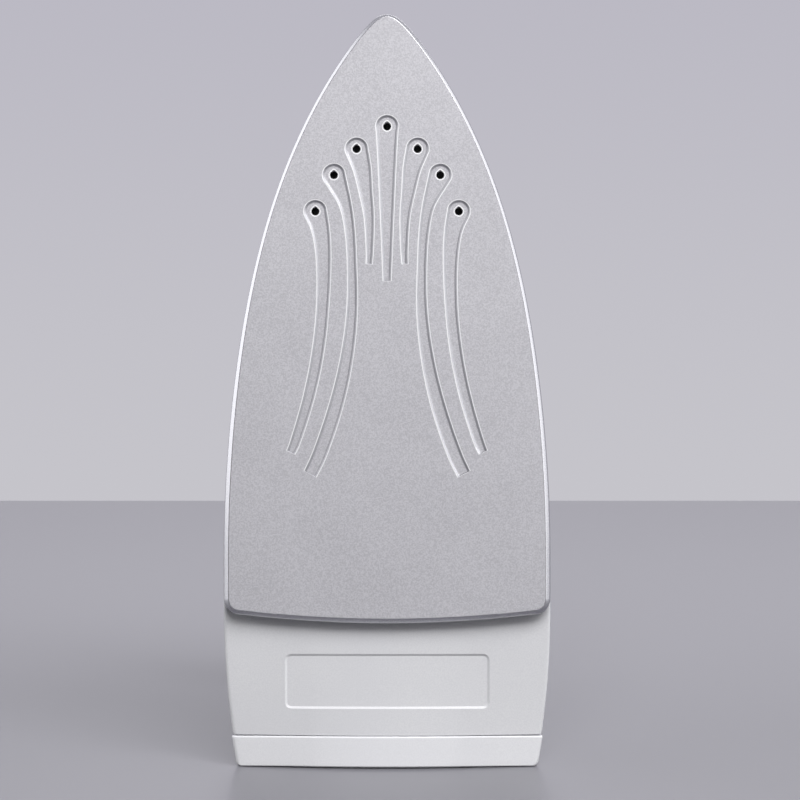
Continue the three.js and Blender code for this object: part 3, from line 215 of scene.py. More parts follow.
def made(bm):
    """A loose object from a bmesh, in millimetres."""
    mesh = bpy.data.meshes.new("part")
    bm.to_mesh(mesh)
    bm.free()
    part = bpy.data.objects.new("part", mesh)
    bpy.context.scene.collection.objects.link(part)
    return part


def plate(outline, front, back):
    """A flat piece parallel to the ironing face, from points (x, z)."""
    return loft([level(outline, front), level(outline, back)])


def side_plate(outline, left, right):
    """A piece of even width across the iron, from points (y, z)."""
    return loft([[Vector((x, y, z)) for y, z in outline] for x in (left, right)])


def block(across, depth, height):
    bm = bmesh.new()
    bmesh.ops.create_cube(bm, size=1)
    scale = [far - near for near, far in (across, depth, height)]
    bmesh.ops.scale(bm, vec=scale, verts=bm.verts)
    middle = Vector([(near + far) / 2 for near, far in (across, depth, height)])
    bmesh.ops.translate(bm, vec=middle, verts=bm.verts)
    return made(bm)


def turned(profile, steps=64):
    """A closed piece from points (radius, height), spun about z."""
    bm = bmesh.new()
    verts = [bm.verts.new((radius, 0, height)) for radius, height in profile]
    edges = [bm.edges.new(pair) for pair in zip(verts, verts[1:])]
    if profile[0][0] > 0:
        edges.append(bm.edges.new((verts[-1], verts[0])))
    bmesh.ops.spin(
        bm, geom=verts + edges, cent=(0, 0, 0), axis=(0, 0, 1),
        angle=2 * math.pi, steps=steps, use_merge=True,
    )
    bmesh.ops.remove_doubles(bm, verts=bm.verts, dist=1e-4)
    bmesh.ops.recalc_face_normals(bm, faces=bm.faces)
    return made(bm)


def placed(part, *turns):
    """The part after each turn or move in order."""
    for turn in turns:
        part.data.transform(turn)
    return part


BACKWARDS = Matrix.Rotation(-math.pi / 2, 4, "X")


def post(x, z, radius, front, back, steps=48):
    """A round post along y."""
    rod = turned([(0, front), (radius, front), (radius, back), (0, back)], steps)
    return placed(rod, BACKWARDS, Matrix.Translation((x, 0, z)))


def rod_along(x, y, radius, low, high, steps=48):
    """A round rod along z."""
    rod = turned([(0, low), (radius, low), (radius, high), (0, high)], steps)
    return placed(rod, Matrix.Translation((x, y, 0)))


def rod_across(y, z, radius, left, right, steps=48):
    """A round rod along x."""
    rod = turned([(0, left), (radius, left), (radius, right), (0, right)], steps)
    return placed(rod, Matrix.Rotation(math.pi / 2, 4, "Y"), Matrix.Translation((0, y, z)))


def drop(*parts):
    for part in parts:
        bpy.data.objects.remove(part)


def worked(part, operation, tools):
    """The part after each tool is joined to it, cut from it or met with it; the tools are used up."""
    for tool in tools:
        step = part.modifiers.new("step", "BOOLEAN")
        step.operation = operation
        step.solver = "MANIFOLD"
        step.object = tool
    bpy.context.view_layer.update()
    depsgraph = bpy.context.evaluated_depsgraph_get()
    mesh = bpy.data.meshes.new_from_object(part.evaluated_get(depsgraph))
    part.modifiers.clear()
    part.data = mesh
    drop(*tools)
    return part


def cut(part, *tools):
    return worked(part, "DIFFERENCE", tools)


def joined(part, *others):
    return worked(part, "UNION", others)


def common(part, *others):
    return worked(part, "INTERSECT", others)


def softened(part, width, segments=3, angle=40):
    """The part with its sharp outer edges rounded."""
    bm = bmesh.new()
    bm.from_mesh(part.data)
    bmesh.ops.dissolve_degenerate(bm, dist=0.02, edges=bm.edges)
    least = math.radians(angle)
    sharp = [edge for edge in bm.edges if edge.is_manifold and edge.calc_face_angle_signed() > least]
    bmesh.ops.bevel(
        bm, geom=sharp, offset=width, offset_type="OFFSET", affect="EDGES",
        segments=segments, profile=0.5, material=-1,
    )
    bm.to_mesh(part.data)
    bm.free()
    return part


def copy_of(part):
    other = part.copy()
    other.data = part.data.copy()
    bpy.context.scene.collection.objects.link(other)
    return other


def node_copy(name):
    """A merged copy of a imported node, in millimetres in the iron's frame."""
    bm = bmesh.new()
    bm.from_mesh(frame["nodes"][name].data)
    bmesh.ops.transform(bm, matrix=UNSTAND, verts=bm.verts)
    bmesh.ops.remove_doubles(bm, verts=bm.verts, dist=1e-3)
    return made(bm)


def together(part, *others):
    """One object that holds several closed skins."""
    bm = bmesh.new()
    for each in (part, *others):
        bm.from_mesh(each.data)
    bm.to_mesh(part.data)
    bm.free()
    drop(*others)
    return part


# Shader maths


class Socket:
    """A value in a material, which takes part in sums."""

    def __init__(self, nodes, socket):
        self.nodes = nodes
        self.socket = socket

    def maths(self, operation, first, second):
        return self.nodes.node("ShaderNodeMath", {"operation": operation}, [first, second])

    def __add__(self, other):
        return self.maths("ADD", self, other)

    def __radd__(self, other):
        return self.maths("ADD", other, self)

    def __sub__(self, other):
        return self.maths("SUBTRACT", self, other)

    def __rsub__(self, other):
        return self.maths("SUBTRACT", other, self)

    def __mul__(self, other):
        return self.maths("MULTIPLY", self, other)

    def __rmul__(self, other):
        return self.maths("MULTIPLY", other, self)


SEEN_RAYS = ("Is Camera Ray", "Is Glossy Ray", "Is Transmission Ray")


class Nodes:
    """A tree of shader nodes, built up call by call."""

    def __init__(self, tree):
        self.tree = tree

    def node(self, kind, settings=None, values=(), output=0):
        """Adds a node, gives it its settings and then its values or links, and returns one output."""
        node = self.tree.nodes.new(kind)
        for label, value in (settings or {}).items():
            setattr(node, label, value)
        pairs = values.items() if isinstance(values, dict) else enumerate(values)
        for key, value in pairs:
            self.feed(node.inputs[key], value)
        return Socket(self, node.outputs[output])

    def feed(self, target, value):
        if isinstance(value, Socket):
            self.tree.links.new(value.socket, target)
        elif isinstance(value, tuple) and len(value) == 3 and len(target.default_value) == 4:
            target.default_value = (*value, 1)
        else:
            target.default_value = value

    def seen(self):
        """1 for a ray from the camera, a mirror or glass, and 0 for the light that is thrown about."""
        camera, glossy, through = [self.node("ShaderNodeLightPath", output=ray) for ray in SEEN_RAYS]
        return camera + glossy + through


class Paint(Nodes):
    """A procedural material over the shader of one finish."""

    def __init__(self, name, **settings):
        self.material = bpy.data.materials.new(name)
        self.material.use_nodes = True
        super().__init__(self.material.node_tree)
        self.shader = self.tree.nodes["Principled BSDF"]
        for label, value in settings.items():
            self.shader.inputs[label.replace("_", " ")].default_value = value

    def place(self, stretch=(1, 1, 1)):
        """Where on the object, in the iron's own leaned frame."""
        spot = self.node("ShaderNodeTexCoord", output="Object")
        return self.node(
            "ShaderNodeMapping", None, {"Vector": spot, "Rotation": (LEAN, 0, 0), "Scale": stretch}
        )

    def noise(self, size, detail=2.0, stretch=(1, 1, 1)):
        """Noise from 0 to 1 with grains of a size in millimetres."""
        values = {"Vector": self.place(stretch), "Scale": 1000 / size, "Detail": detail}
        return self.node("ShaderNodeTexNoise", None, values)

    def share(self, value, low, high):
        """The value's place between low and high, from 0 to 1."""
        values = {"Value": value, "From Min": low, "From Max": high}
        return self.node("ShaderNodeMapRange", {"interpolation_type": "SMOOTHSTEP"}, values)

    def tint(self, factor, first, second):
        """The first colour, and the second where the factor is 1."""
        values = {"Factor": factor, 6: first, 7: second}
        return self.node("ShaderNodeMix", {"data_type": "RGBA"}, values, output=2)

    def relief(self, height, depth):
        """A bump of that depth in millimetres."""
        return self.node("ShaderNodeBump", None, {"Height": height, "Distance": depth / 1000})

    def attribute(self, name):
        return self.node("ShaderNodeAttribute", {"attribute_name": name}, output="Fac")

    def wear(self, **inputs):
        """Feeds what changes over the surface to the shader."""
        for label, value in inputs.items():
            self.feed(self.shader.inputs[label.replace("_", " ")], value)
        return self.material


def linear(red, green, blue):
    """A colour from its 0 to 255 values as a screen shows it."""
    return tuple(
        share / 12.92 if share <= 0.04045 else ((share + 0.055) / 1.055) ** 2.4
        for share in (red / 255, green / 255, blue / 255)
    )


# Painted shade: how far the groove walls are darkened towards dark grey
WALL_PAINTED_SHADE = 0.45
SPECKLE = 0.46


def sole_finish():
    """Blasted aluminium: its attributes say where it is polished, where a highlight is painted on the lips
    and where painted shade darkens the groove walls.
    """
    paint = Paint("blasted_aluminium", Metallic=0.85, IOR=1.5)
    polish = paint.attribute("polish")
    grain = paint.noise(0.45, 3.0)
    cloud = paint.noise(26, 2.0)
    fine = paint.noise(0.16, 1.0)
    face = paint.tint(paint.share(cloud, 0.3, 0.7), linear(206, 205, 209), linear(211, 210, 214))
    speck = paint.tint(paint.share(grain, 0.35, 0.65), linear(186, 185, 190), linear(225, 224, 228))
    base = paint.tint(SPECKLE, face, speck)
    # Painted shade on the groove walls, darkest on the walls across their ends
    walls = paint.tint(WALL_PAINTED_SHADE * paint.attribute("groove_wall_painted_shade"), base, linear(128, 128, 134))
    # Painted highlight: the lips of the grooves and holes are painted near white
    painted_lip_highlight = paint.tint(paint.attribute("lip"), walls, linear(252, 252, 253))
    colour = paint.tint(polish, painted_lip_highlight, linear(194, 194, 198))
    rough = (1 - polish) * (0.56 + 0.08 * fine) + polish * 0.26
    bump = paint.relief(grain * (1 - polish), 0.02)
    return paint.wear(Base_Color=colour, Roughness=rough, Normal=bump)


def white_finish(name, light, dark, grain_depth=0.012):
    """Satin moulded plastic with a faint spark-eroded grain."""
    paint = Paint(name, IOR=1.5, Specular_IOR_Level=0.45)
    grain = paint.noise(0.5, 2.0)
    cloud = paint.noise(38, 1.0)
    fleck = tuple(channel * 0.955 for channel in dark)
    clouded = paint.tint(paint.share(cloud, 0.3, 0.7), dark, light)
    colour = paint.tint(0.8 * paint.share(grain, 0.3, 0.7), clouded, fleck)
    rough = 0.3 + 0.1 * grain
    return paint.wear(Base_Color=colour, Roughness=rough, Normal=paint.relief(grain, grain_depth))


def grip_finish(name, light, dark, size, depth):
    """Soft-touch plastic with a pebbled texture."""
    paint = Paint(name, IOR=1.46, Specular_IOR_Level=0.35)
    pattern = {"Vector": paint.place(), "Scale": 1000 / size, "Smoothness": 0.6}
    pebble = paint.node("ShaderNodeTexVoronoi", {"feature": "SMOOTH_F1"}, pattern)
    cloud = paint.noise(30, 2.0)
    colour = paint.tint(paint.share(cloud, 0.3, 0.7), dark, light)
    rough = 0.52 + 0.12 * pebble
    return paint.wear(Base_Color=colour, Roughness=rough, Normal=paint.relief(1 - pebble, depth))


def metal_finish(name, colour, rough, stretch=(1, 1, 1)):
    """Bare metal with fine streaks along the way that it is stretched."""
    paint = Paint(name, Metallic=1.0, IOR=1.5)
    streak = paint.noise(0.6, 3.0, stretch)
    cloud = paint.noise(12, 2.0)
    shade = tuple(channel * 0.82 for channel in colour)
    tone = paint.tint(paint.share(cloud, 0.25, 0.75), shade, colour)
    uneven = rough + 0.16 * (streak - 0.5)
    return paint.wear(Base_Color=tone, Roughness=uneven, Normal=paint.relief(streak, 0.008))


def plain_finish(name, colour, rough, grain=0.4, depth=0.02):
    """Ceramic, rubber, silicone or sleeve, with its own grain and a little unevenness."""
    paint = Paint(name, IOR=1.45)
    fine = paint.noise(grain, 2.0)
    cloud = paint.noise(9, 2.0)
    shade = tuple(channel * 0.8 for channel in colour)
    tone = paint.tint(paint.share(cloud, 0.25, 0.75), shade, colour)
    uneven = rough + 0.12 * (fine - 0.5)
    return paint.wear(Base_Color=tone, Roughness=uneven, Normal=paint.relief(fine, depth))


def lens_finish():
    """Amber plastic with a moulded prism pattern under its face."""
    paint = Paint("amber_lens", IOR=1.49, Roughness=0.12, Coat_Weight=0.5)
    ridge = paint.node(
        "ShaderNodeTexWave",
        {"wave_type": "BANDS", "bands_direction": "X"},
        {"Vector": paint.place(), "Scale": 260.0, "Distortion": 0.0},
    )
    colour = paint.tint(ridge, (0.42, 0.1, 0.015), (0.75, 0.24, 0.03))
    return paint.wear(Base_Color=colour, Normal=paint.relief(ridge, 0.03))


FINISHES = {
    "sole_aluminium": sole_finish(),
    "shield_aluminium": metal_finish("mill_aluminium", (0.6, 0.6, 0.61), 0.35, (1, 1, 0.08)),
    "steel": metal_finish("bright_steel", (0.5, 0.5, 0.51), 0.3),
    "brass": metal_finish("turned_brass", (0.62, 0.44, 0.19), 0.3),
    "silicone": plain_finish("silicone", (0.55, 0.52, 0.47), 0.6),
    "gland_rubber": plain_finish("gland_rubber", (0.018, 0.018, 0.02), 0.6, 0.35, 0.03),
    "ceramic": plain_finish("unglazed_ceramic", (0.66, 0.63, 0.55), 0.75, 0.3, 0.03),
    "white_plastic": white_finish("white_plastic", linear(226, 226, 229), linear(222, 222, 226)),
    "cap_plastic": white_finish("cap_plastic", linear(237, 237, 240), linear(234, 234, 238), 0.008),
    "grip_plastic": grip_finish("soft_grip", linear(104, 106, 112), linear(96, 98, 104), 0.9, 0.05),
    "dial_plastic": grip_finish("dial_grain", linear(110, 112, 118), linear(102, 104, 110), 0.5, 0.03),
    "dark_plastic": plain_finish("dark_moulding", (0.03, 0.03, 0.034), 0.5),
    "lead_sleeve": plain_finish("glass_sleeve", (0.3, 0.3, 0.3), 0.8, 0.7, 0.06),
    "amber_lens": lens_finish(),
}


def mark(part, name, value_of):
    """Gives each face the number that its finish reads under that name."""
    layer = part.data.attributes.new(name, "FLOAT", "FACE")
    layer.data.foreach_set("value", [float(value_of(face)) for face in part.data.polygons])


def finished(part, name, slot, body="iron", stands_for=(), angle=35):
    """Stands the part on its heel and gives it its name, finish, body and soft edges."""
    part.name = name
    part.data.name = name
    bm = bmesh.new()
    bm.from_mesh(part.data)
    bmesh.ops.transform(bm, matrix=STAND, verts=bm.verts)
    for face in bm.faces:
        face.smooth = True
    for edge in bm.edges:
        edge.smooth = edge.calc_face_angle(math.pi) < math.radians(angle)
    bm.to_mesh(part.data)
    bm.free()
    part.data.materials.clear()
    part.data.materials.append(FINISHES[slot])
    smooth = part.modifiers.new("even_normals", "WEIGHTED_NORMAL")
    smooth.keep_sharp = True
    smooth.weight = 60
    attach(part, body)
    if stands_for:
        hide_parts(*stands_for)


# Soleplate

# How far in the bevel is at each depth
BEVEL = ((1.95, 0), (1.75, 0.05), (1.5, 0.2), (0.55, 1.1), (0.24, 1.45), (0.06, 1.8), (0, 2.2))
BEVEL_BAND = 2.2
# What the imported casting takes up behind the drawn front
CASTING_HALF, CASTING_BACK, OVERLAP = 80, 60, 0.02
GROOVE_DEPTH = 0.5
HEAD_RADIUS = 4
HOLE_RADIUS, HOLE_REACH = 1.45, 9
SINK_RADIUS, SINK_DEPTH = 1.95, 0.1
# How much longer a steam hole is towards the tip, and how narrow that end of it is
TEAR, TEAR_POWER = 0.22, 14
# The radius of the shallow sink, its lip and the steam hole at each depth under a groove's floor
SINK_ROWS = (
    (SINK_RADIUS, -0.2), (SINK_RADIUS, 0.004), (HOLE_RADIUS + 0.03, 0.012),
    (HOLE_RADIUS, SINK_DEPTH), (HOLE_RADIUS, HOLE_REACH - GROOVE_DEPTH),
)

# Each groove runs from its steam hole towards the heel. A row is the distance from the tip as a share
# of the sole's length, the place across as a share of its half width, and the groove's half width as a
# share of its head's radius.
GROOVES = (
    ((1,), 10, ((0.1835, 0, 1), (0.192, 0, 0.93), (0.3143, 0, 0.59), (0.4367, 0, 0.31))),
    (
        (-1, 1),
        28,
        ((0.2204, 0.1864, 1), (0.2514, 0.1531, 0.78), (0.2911, 0.1299, 0.56), (0.3308, 0.1099, 0.41),
         (0.3898, 0.1057, 0.26), (0.4088, 0.1093, 0.22)),
    ),
    (
        (-1, 1),
        48,
        ((0.2632, 0.3245, 1), (0.3109, 0.2546, 0.52), (0.3502, 0.228, 0.41), (0.4097, 0.2138, 0.37),
         (0.4885, 0.2147, 0.44), (0.5674, 0.2497, 0.53), (0.6462, 0.3178, 0.6), (0.7255, 0.4194, 0.6),
         (0.7535, 0.4693, 0.57)),
    ),
    (
        (-1, 1),
        42,
        ((0.3227, 0.4376, 1), (0.3502, 0.4077, 0.78), (0.3898, 0.3895, 0.64), (0.4687, 0.391, 0.52),
         (0.5476, 0.4194, 0.5), (0.6264, 0.4776, 0.47), (0.7057, 0.5675, 0.4), (0.7179, 0.5875, 0.36)),
    ),
)


def groove_ring(rows, steps, side, inset, y, head_steps=20):
    """A groove's outline at one depth: up its right side, round its head and down its left."""
    places = [
        Vector((across * HALF * side, width * HEAD_RADIUS, LENGTH - share * SOLE_LENGTH))
        for share, across, width in rows
    ]
    samples = [along(places, step / steps) for step in range(steps + 1)]

    def way(index):
        before, after = samples[max(index - 1, 0)], samples[min(index + 1, steps)]
        return Vector((before.x - after.x, before.z - after.z)).normalized()

    left, right = [], []
    for index in range(1, steps + 1):
        sample, ahead = samples[index], way(index)
        back = inset * END_STEEPNESS if index == steps else 0
        width = max(sample.y - inset, LEAST_FLOOR)
        x, z = sample.x + ahead.x * back, sample.z + ahead.y * back
        left.append((x - ahead.y * width, z + ahead.x * width))
        right.insert(0, (x + ahead.y * width, z - ahead.x * width))
    head, ahead = samples[0], way(0)
    reach = head.y - inset
    start = math.atan2(ahead.y, ahead.x) - math.pi / 2
    for step in range(head_steps + 1):
        angle = start + step / head_steps * math.pi
        right.append((head.x + reach * math.cos(angle), head.z + reach * math.sin(angle)))
    return level(right + left, y)


# How far in the groove's wall is at each depth, with a rounded lip, on which a highlight is painted, and a
# soft foot
GROOVE_WALL_ROWS = (
    (-2.1, -0.06), (-0.45, 0), (-0.08, 0.012), (0.02, 0.06),
    (0.2, 0.26), (0.42, 0.39), (0.72, 0.47), (1.05, GROOVE_DEPTH),
)
END_STEEPNESS = 0.3
LEAST_FLOOR = 0.06
# Where a face is flat, where the lips (with a painted highlight) and the walls (with painted shade) lie by
# depth, and how much darker the painted shade is on the end walls
FLAT = -0.985
LIP_FROM, LIP_TO = 0.001, 0.013
SINK_LIP_FROM, SINK_LIP_TO = GROOVE_DEPTH + 0.002, GROOVE_DEPTH + 0.02
WALL_FROM, WALL_TO = 0.03, 0.44
END_PAINTED_SHADE, WALL_POLISH = 2.1, 0.35


def hole_ring(x, z, radius, y, steps=48):
    """A drilled hole's edge, drawn out a little towards the tip."""
    ring = []
    for step in range(steps):
        angle = step / steps * 2 * math.pi
        reach = radius * (1 + TEAR * max(math.sin(angle), 0) ** TEAR_POWER)
        ring.append(Vector((x + reach * math.cos(angle), y, z + reach * math.sin(angle))))
    return ring


def groove_tools(sides, steps, rows):
    """What cuts a groove and its steam hole, on each side that it is on."""
    tools = []
    for side in sides:
        rings = [groove_ring(rows, steps, side, inset, depth) for inset, depth in GROOVE_WALL_ROWS]
        tools.append(loft(rings))
        x, z = rows[0][1] * HALF * side, LENGTH - rows[0][0] * SOLE_LENGTH
        tools.append(loft([hole_ring(x, z, radius, GROOVE_DEPTH + depth) for radius, depth in SINK_ROWS]))
    return tools


def lip_share(face):
    """1 on the lips of the grooves and of the steam holes, where a highlight is painted near white."""
    y = face.center.y
    return LIP_FROM < y < LIP_TO or SINK_LIP_FROM < y < SINK_LIP_TO


def wall_painted_shade_share(face):
    """How much painted shade darkens a groove's wall: the wall across its end most."""
    on_wall = WALL_FROM < face.center.y < WALL_TO and face.normal.y > FLAT
    return on_wall * (END_PAINTED_SHADE if face.normal.z > 0.5 else 1)


def polish_share(face):
    """How polished a face is: the bevelled edge and the holes most, the groove walls partly."""
    x, y, z = face.center
    if y < LIP_TO or face.normal.y < FLAT:
        return 0
    from_tip = LENGTH - z
    rear = LENGTH - SOLE_LENGTH + REAR_RISE * (x / HALF) ** 2
    on_side = abs(x) > inset_half(from_tip, BEVEL_BAND * bevel_share(from_tip))
    return 1 if on_side or z < rear + BEVEL_BAND or y > GROOVE_DEPTH else WALL_POLISH


def build_soleplate():
    """The bevelled, grooved and drilled front of the sole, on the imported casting's back."""
    rings = [
        [Vector((x, back * bevel_share(LENGTH - z), z)) for x, z in sole_outline(inset, TIP_BEVEL)]
        for inset, back in BEVEL
    ]
    rings.append(level(sole_outline(0), SOLE_THICK))
    tools = [tool for groove in GROOVES for tool in groove_tools(*groove)]
    behind = block((-CASTING_HALF, CASTING_HALF), (SOLE_THICK - OVERLAP, CASTING_BACK), (0, LENGTH))
    part = together(cut(loft(rings), *tools), common(node_copy("soleplate"), behind))
    mark(part, "lip", lip_share)
    mark(part, "groove_wall_painted_shade", wall_painted_shade_share)
    mark(part, "polish", polish_share)
    finished(part, "sole_plate", "sole_aluminium", stands_for=["soleplate"], angle=24)


# Shell

# The skirt at its front edge, and how it narrows and bulges towards the heel
RIM, RIM_INSET, HEEL_INSET = 6, 1.5, -0.5
BLEND_FROM, BLEND_TO = 58, 95
NARROWING, NARROW_POWER = 5, 2.2
FRONT_DROP, SIDE_RISE, BULGE_POWER = 3.6, 2.5, 1.5
SIDE_ROUND, HEEL_ROUND = 1.6, 2.2
FRONT_POINTS = 18
EDGE = 0.3

# The deck's height and its shoulders' width from heel to tip
DECK = 50
CROWN, NOSE_CROWN, CROWN_FALLS_FROM = 6, 2.5, 0.6
NOSE_ROOM, NOSE_POWER = 1.5, 1.35
DECK_SHARES = (
    (-0.1, 1), (0.07, 1), (0.22, 0.96), (0.436, 0.9), (0.653, 0.76),
    (0.8, 0.6), (0.907, 0.43), (0.973, 0.3), (1, 0.22),
)
SHOULDER_SHARES = ((-0.1, 0.8), (0.4, 0.8), (0.75, 0.72), (1, 0.6))
SHOULDER_ROUND = 0.4

# The heel cap, the gap above it, its foot and its screw wells
CAP_HEIGHT, CAP_ARCH, CAP_LIP, CAP_EDGE = 11.7, 0.5, 0.5, 0.55
CAP_GAP, GAP_GROWS = 0.12, 0.34
FOOT_HALF, FOOT_ROUND, FOOT_ARCH = 55.4, 1.6, 0.6
WELL_ACROSS, WELL_BACK, WELL_RADIUS = 30, 38, 3.9
WELL_LOW, WELL_HIGH = -4, 3.8

# The seam between the skirt and the upper shell, and the loop of the handle
SEAM_HEEL, SEAM_TIP = 33, 9.5
COVER_FROM, COVER_TO, COVER_FACE, COVER_OUT = 0.4, 0.83, 1.5, 30
GRIP_TOP, GRIP_HALF, GRIP_THICK, GRIP_ROUND = 128, 16.5, 14, 2.6
GRIP_PATH = [
    Vector((0, back * GRIP_TOP, share * LENGTH))
    for back, share in (
        (0.188, 0.109), (0.469, 0.084), (0.742, 0.094), (0.867, 0.174), (0.895, 0.309),
        (0.887, 0.436), (0.844, 0.545), (0.703, 0.61), (0.5, 0.639), (0.188, 0.646),
    )
]
GRIP_SIZE = [
    Vector((width * GRIP_HALF, thick * GRIP_THICK, 0))
    for width, thick in (
        (2.18, 2.14), (1.64, 1.71), (1.33, 1.57), (1.15, 1.21), (1.06, 1.04),
        (1, 1), (0.97, 1.04), (1, 1.04), (1.15, 1), (1.82, 1.43),
    )
]


def skirt_half(z):
    """Half the skirt's width at a height above the heel."""
    if z < BLEND_FROM:
        share = (BLEND_FROM - z) / BLEND_FROM
        return HALF - HEEL_INSET - NARROWING * share**NARROW_POWER
    return sole_half(LENGTH - z) - mix(HEEL_INSET, RIM_INSET, smooth_share(BLEND_FROM, BLEND_TO, z))


def rounded(corners):
    """An outline through corners (x, y, radius, steps) that are rounded off."""
    ring = []
    for index, (x, y, radius, steps) in enumerate(corners):
        corner = Vector((x, y))
        back = Vector(corners[index - 1][:2]) - corner
        ahead = Vector(corners[(index + 1) % len(corners)][:2]) - corner
        reach = min(radius, back.length * 0.49, ahead.length * 0.49)
        start, end = corner + back.normalized() * reach, corner + ahead.normalized() * reach
        for step in range(steps + 1):
            share = step / steps
            ring.append(start * (1 - share) ** 2 + corner * 2 * share * (1 - share) + end * share**2)
    return ring


def body_ring(z, inset, fine):
    """The shell's section at a height above the heel, drawn in by inset."""
    front_steps, side_steps, crown_steps, top_steps = (16, 6, 14, 14) if fine else (4, 1, 2, 3)
    share_up = z / LENGTH
    half = skirt_half(z) - inset
    share = max((BLEND_FROM - z) / BLEND_FROM, 0)
    middle = RIM - FRONT_DROP * share**BULGE_POWER + inset
    side = RIM + SIDE_RISE * share + inset
    top = DECK * from_table(DECK_SHARES, share_up) - inset
    crown = mix(CROWN, NOSE_CROWN, smooth_share(CROWN_FALLS_FROM, 1, share_up))
    shoulder = half * from_table(SHOULDER_SHARES, share_up)
    radius = mix(SIDE_ROUND, HEEL_ROUND, smooth_share(0, 1, share))
    shoulder_radius = (top - side) * SHOULDER_ROUND
    right = [(half, side, radius, side_steps), (shoulder, top - crown, shoulder_radius, crown_steps)]
    left = [(-x, *rest) for x, *rest in reversed(right)]
    corners = [(0, middle, half, front_steps), *right, (0, top, half, top_steps), *left]
    return [Vector((point.x, point.y, z)) for point in rounded(corners)]


def lower_solid(inset=0.0, fine=True):
    """The body without its handle, from past the heel to the nose."""
    least = RIM + 2 * inset + NOSE_CROWN + NOSE_ROOM
    nose = nose_of(RIM_INSET + inset + NOSE_ROOM)
    while DECK * from_table(DECK_SHARES, 1 - nose / LENGTH) < least:
        nose += 0.5
    steps = 120 if fine else 9
    reach = LENGTH - nose + CAP_HEIGHT
    rings = []
    for step in range(steps + 1):
        from_tip = nose + reach * (step / steps) ** NOSE_POWER
        rings.append(body_ring(LENGTH - from_tip, inset, fine))
    return loft(rings)


def grip_frame(share):
    """The middle of the handle's loop at a share of its way, and the direction out of the loop."""
    low, high = max(share - 1e-4, 0), min(share + 1e-4, 1)
    way = (along(GRIP_PATH, high, 0) - along(GRIP_PATH, low, 0)).normalized()
    return along(GRIP_PATH, share, 0), Vector((0, way.z, -way.y))


def grip_ring(share, inset, sides):
    middle, out = grip_frame(share)
    size = along(GRIP_SIZE, share, 0)
    ring = []
    for side in range(sides):
        angle = side / sides * 2 * math.pi
        circle = (math.cos(angle), math.sin(angle))
        across, outward = [math.copysign(abs(value) ** (2 / GRIP_ROUND), value) for value in circle]
        ring.append(middle + out * outward * (size.y - inset) + Vector((across * (size.x - inset), 0, 0)))
    return ring


def grip_solid(inset=0.0, fine=True):
    """The loop of the handle, with both its ends in the body."""
    steps, sides = (150, 72) if fine else (14, 10)
    return loft([grip_ring(step / steps, inset, sides) for step in range(steps + 1)])


def above_heel(height, arch=0.0, foot=0.0, steps=180):
    """All above a plane along the heel's base, arched from side to side and rounded at a foot's sides."""
    wide = HALF + SIDE_ROOM
    outline = []
    for step in range(steps + 1):
        x = (step / steps * 2 - 1) * wide
        over = min(max(abs(x) - (FOOT_HALF - foot), 0), foot)
        outline.append((x, height - arch * (x / HALF) ** 2 + foot - math.sqrt(foot**2 - over**2)))
    outline += [(wide, TOP_REACH), (-wide, TOP_REACH)]
    tilt = Matrix.Translation((0, HEEL_FRONT, 0)) @ Matrix.Rotation(LEAN, 4, "X")
    return placed(plate(outline, FRONT_REACH, BACK_REACH), tilt)


def above_seam(offset):
    """All behind the seam between the skirt and the upper shell."""
    slope = (SEAM_TIP - SEAM_HEEL) / LENGTH
    low, high = FRONT_REACH, LENGTH + SIDE_ROOM
    seam_low, seam_high = [SEAM_HEEL + slope * z + offset for z in (low, high)]
    outline = [(seam_low, low), (BACK_REACH, low), (BACK_REACH, high), (seam_high, high)]
    return side_plate(outline, -SIDE_REACH, SIDE_REACH)


def cover_zone(offset, steps=72):
    """The outer side of the handle's loop, which the grip cover takes up."""
    inner, outer = [], []
    for step in range(steps + 1):
        share = mix(COVER_FROM - offset / LENGTH, COVER_TO + offset / LENGTH, step / steps)
        middle, out = grip_frame(share)
        near, far = middle + out * (COVER_FACE - offset), middle + out * (COVER_OUT + offset)
        inner.append((near.y, near.z))
        outer.insert(0, (far.y, far.z))
    return side_plate(inner + outer, -HALF, HALF)


def inner_half(name):
    """The inner half of a shell's walls and what is moulded inside it."""
    inside = joined(lower_solid(WALL / 2, False), grip_solid(WALL / 2, False))
    return common(node_copy(name), inside)


outer_shell = joined(lower_solid(), grip_solid())
core = joined(lower_solid(WALL / 2 + SEAT, False), grip_solid(WALL / 2 + SEAT, False))
skin = cut(copy_of(outer_shell), copy_of(core))

RECESS_HALF, RECESS_LOW, RECESS_HIGH, RECESS_CORNER = 36.7, 22.6, 41.1, 1.6
RECESS_DEPTH, PANEL_FRONT, PANEL_BACK = 0.45, -20, 12
RIM_RUN, RIM_ABOVE, RIM_BELOW = 1.8, 0.45, 0.65
# What brings the corners that rounded() makes near to a quarter circle
CORNER_STRETCH = 1.1
OPENING_INSET, OPENING_BACK = 3.9, 10.4


def rounded_box(half, low, high, radius, steps=8, along_edges=1):
    """A rounded rectangle's outline, with its straight edges in as many pieces as asked."""
    places = [(half, low), (half, high), (-half, high), (-half, low)]
    corners = [(x, z, radius * CORNER_STRETCH, steps) for x, z in places]
    bends = [(point.x, point.y) for point in rounded(corners)]
    outline = []
    for index, (x, z) in enumerate(bends):
        next_x, next_z = bends[(index + 1) % len(bends)]
        count = along_edges if index % (steps + 1) == steps else 1
        outline += [(mix(x, next_x, step / count), mix(z, next_z, step / count)) for step in range(count)]
    return outline


def apron_front(x, z):
    """How far back the apron's front surface lies at a place."""
    ring = body_ring(z, 0, True)[:FRONT_POINTS]
    places = sorted((abs(point.x), point.y) for point in ring)
    after = next(i for i, place in enumerate(places) if place[0] > abs(x))
    (near, y_near), (far, y_far) = places[max(after - 1, 0)], places[after]
    return mix(y_near, y_far, (abs(x) - near) / (far - near))


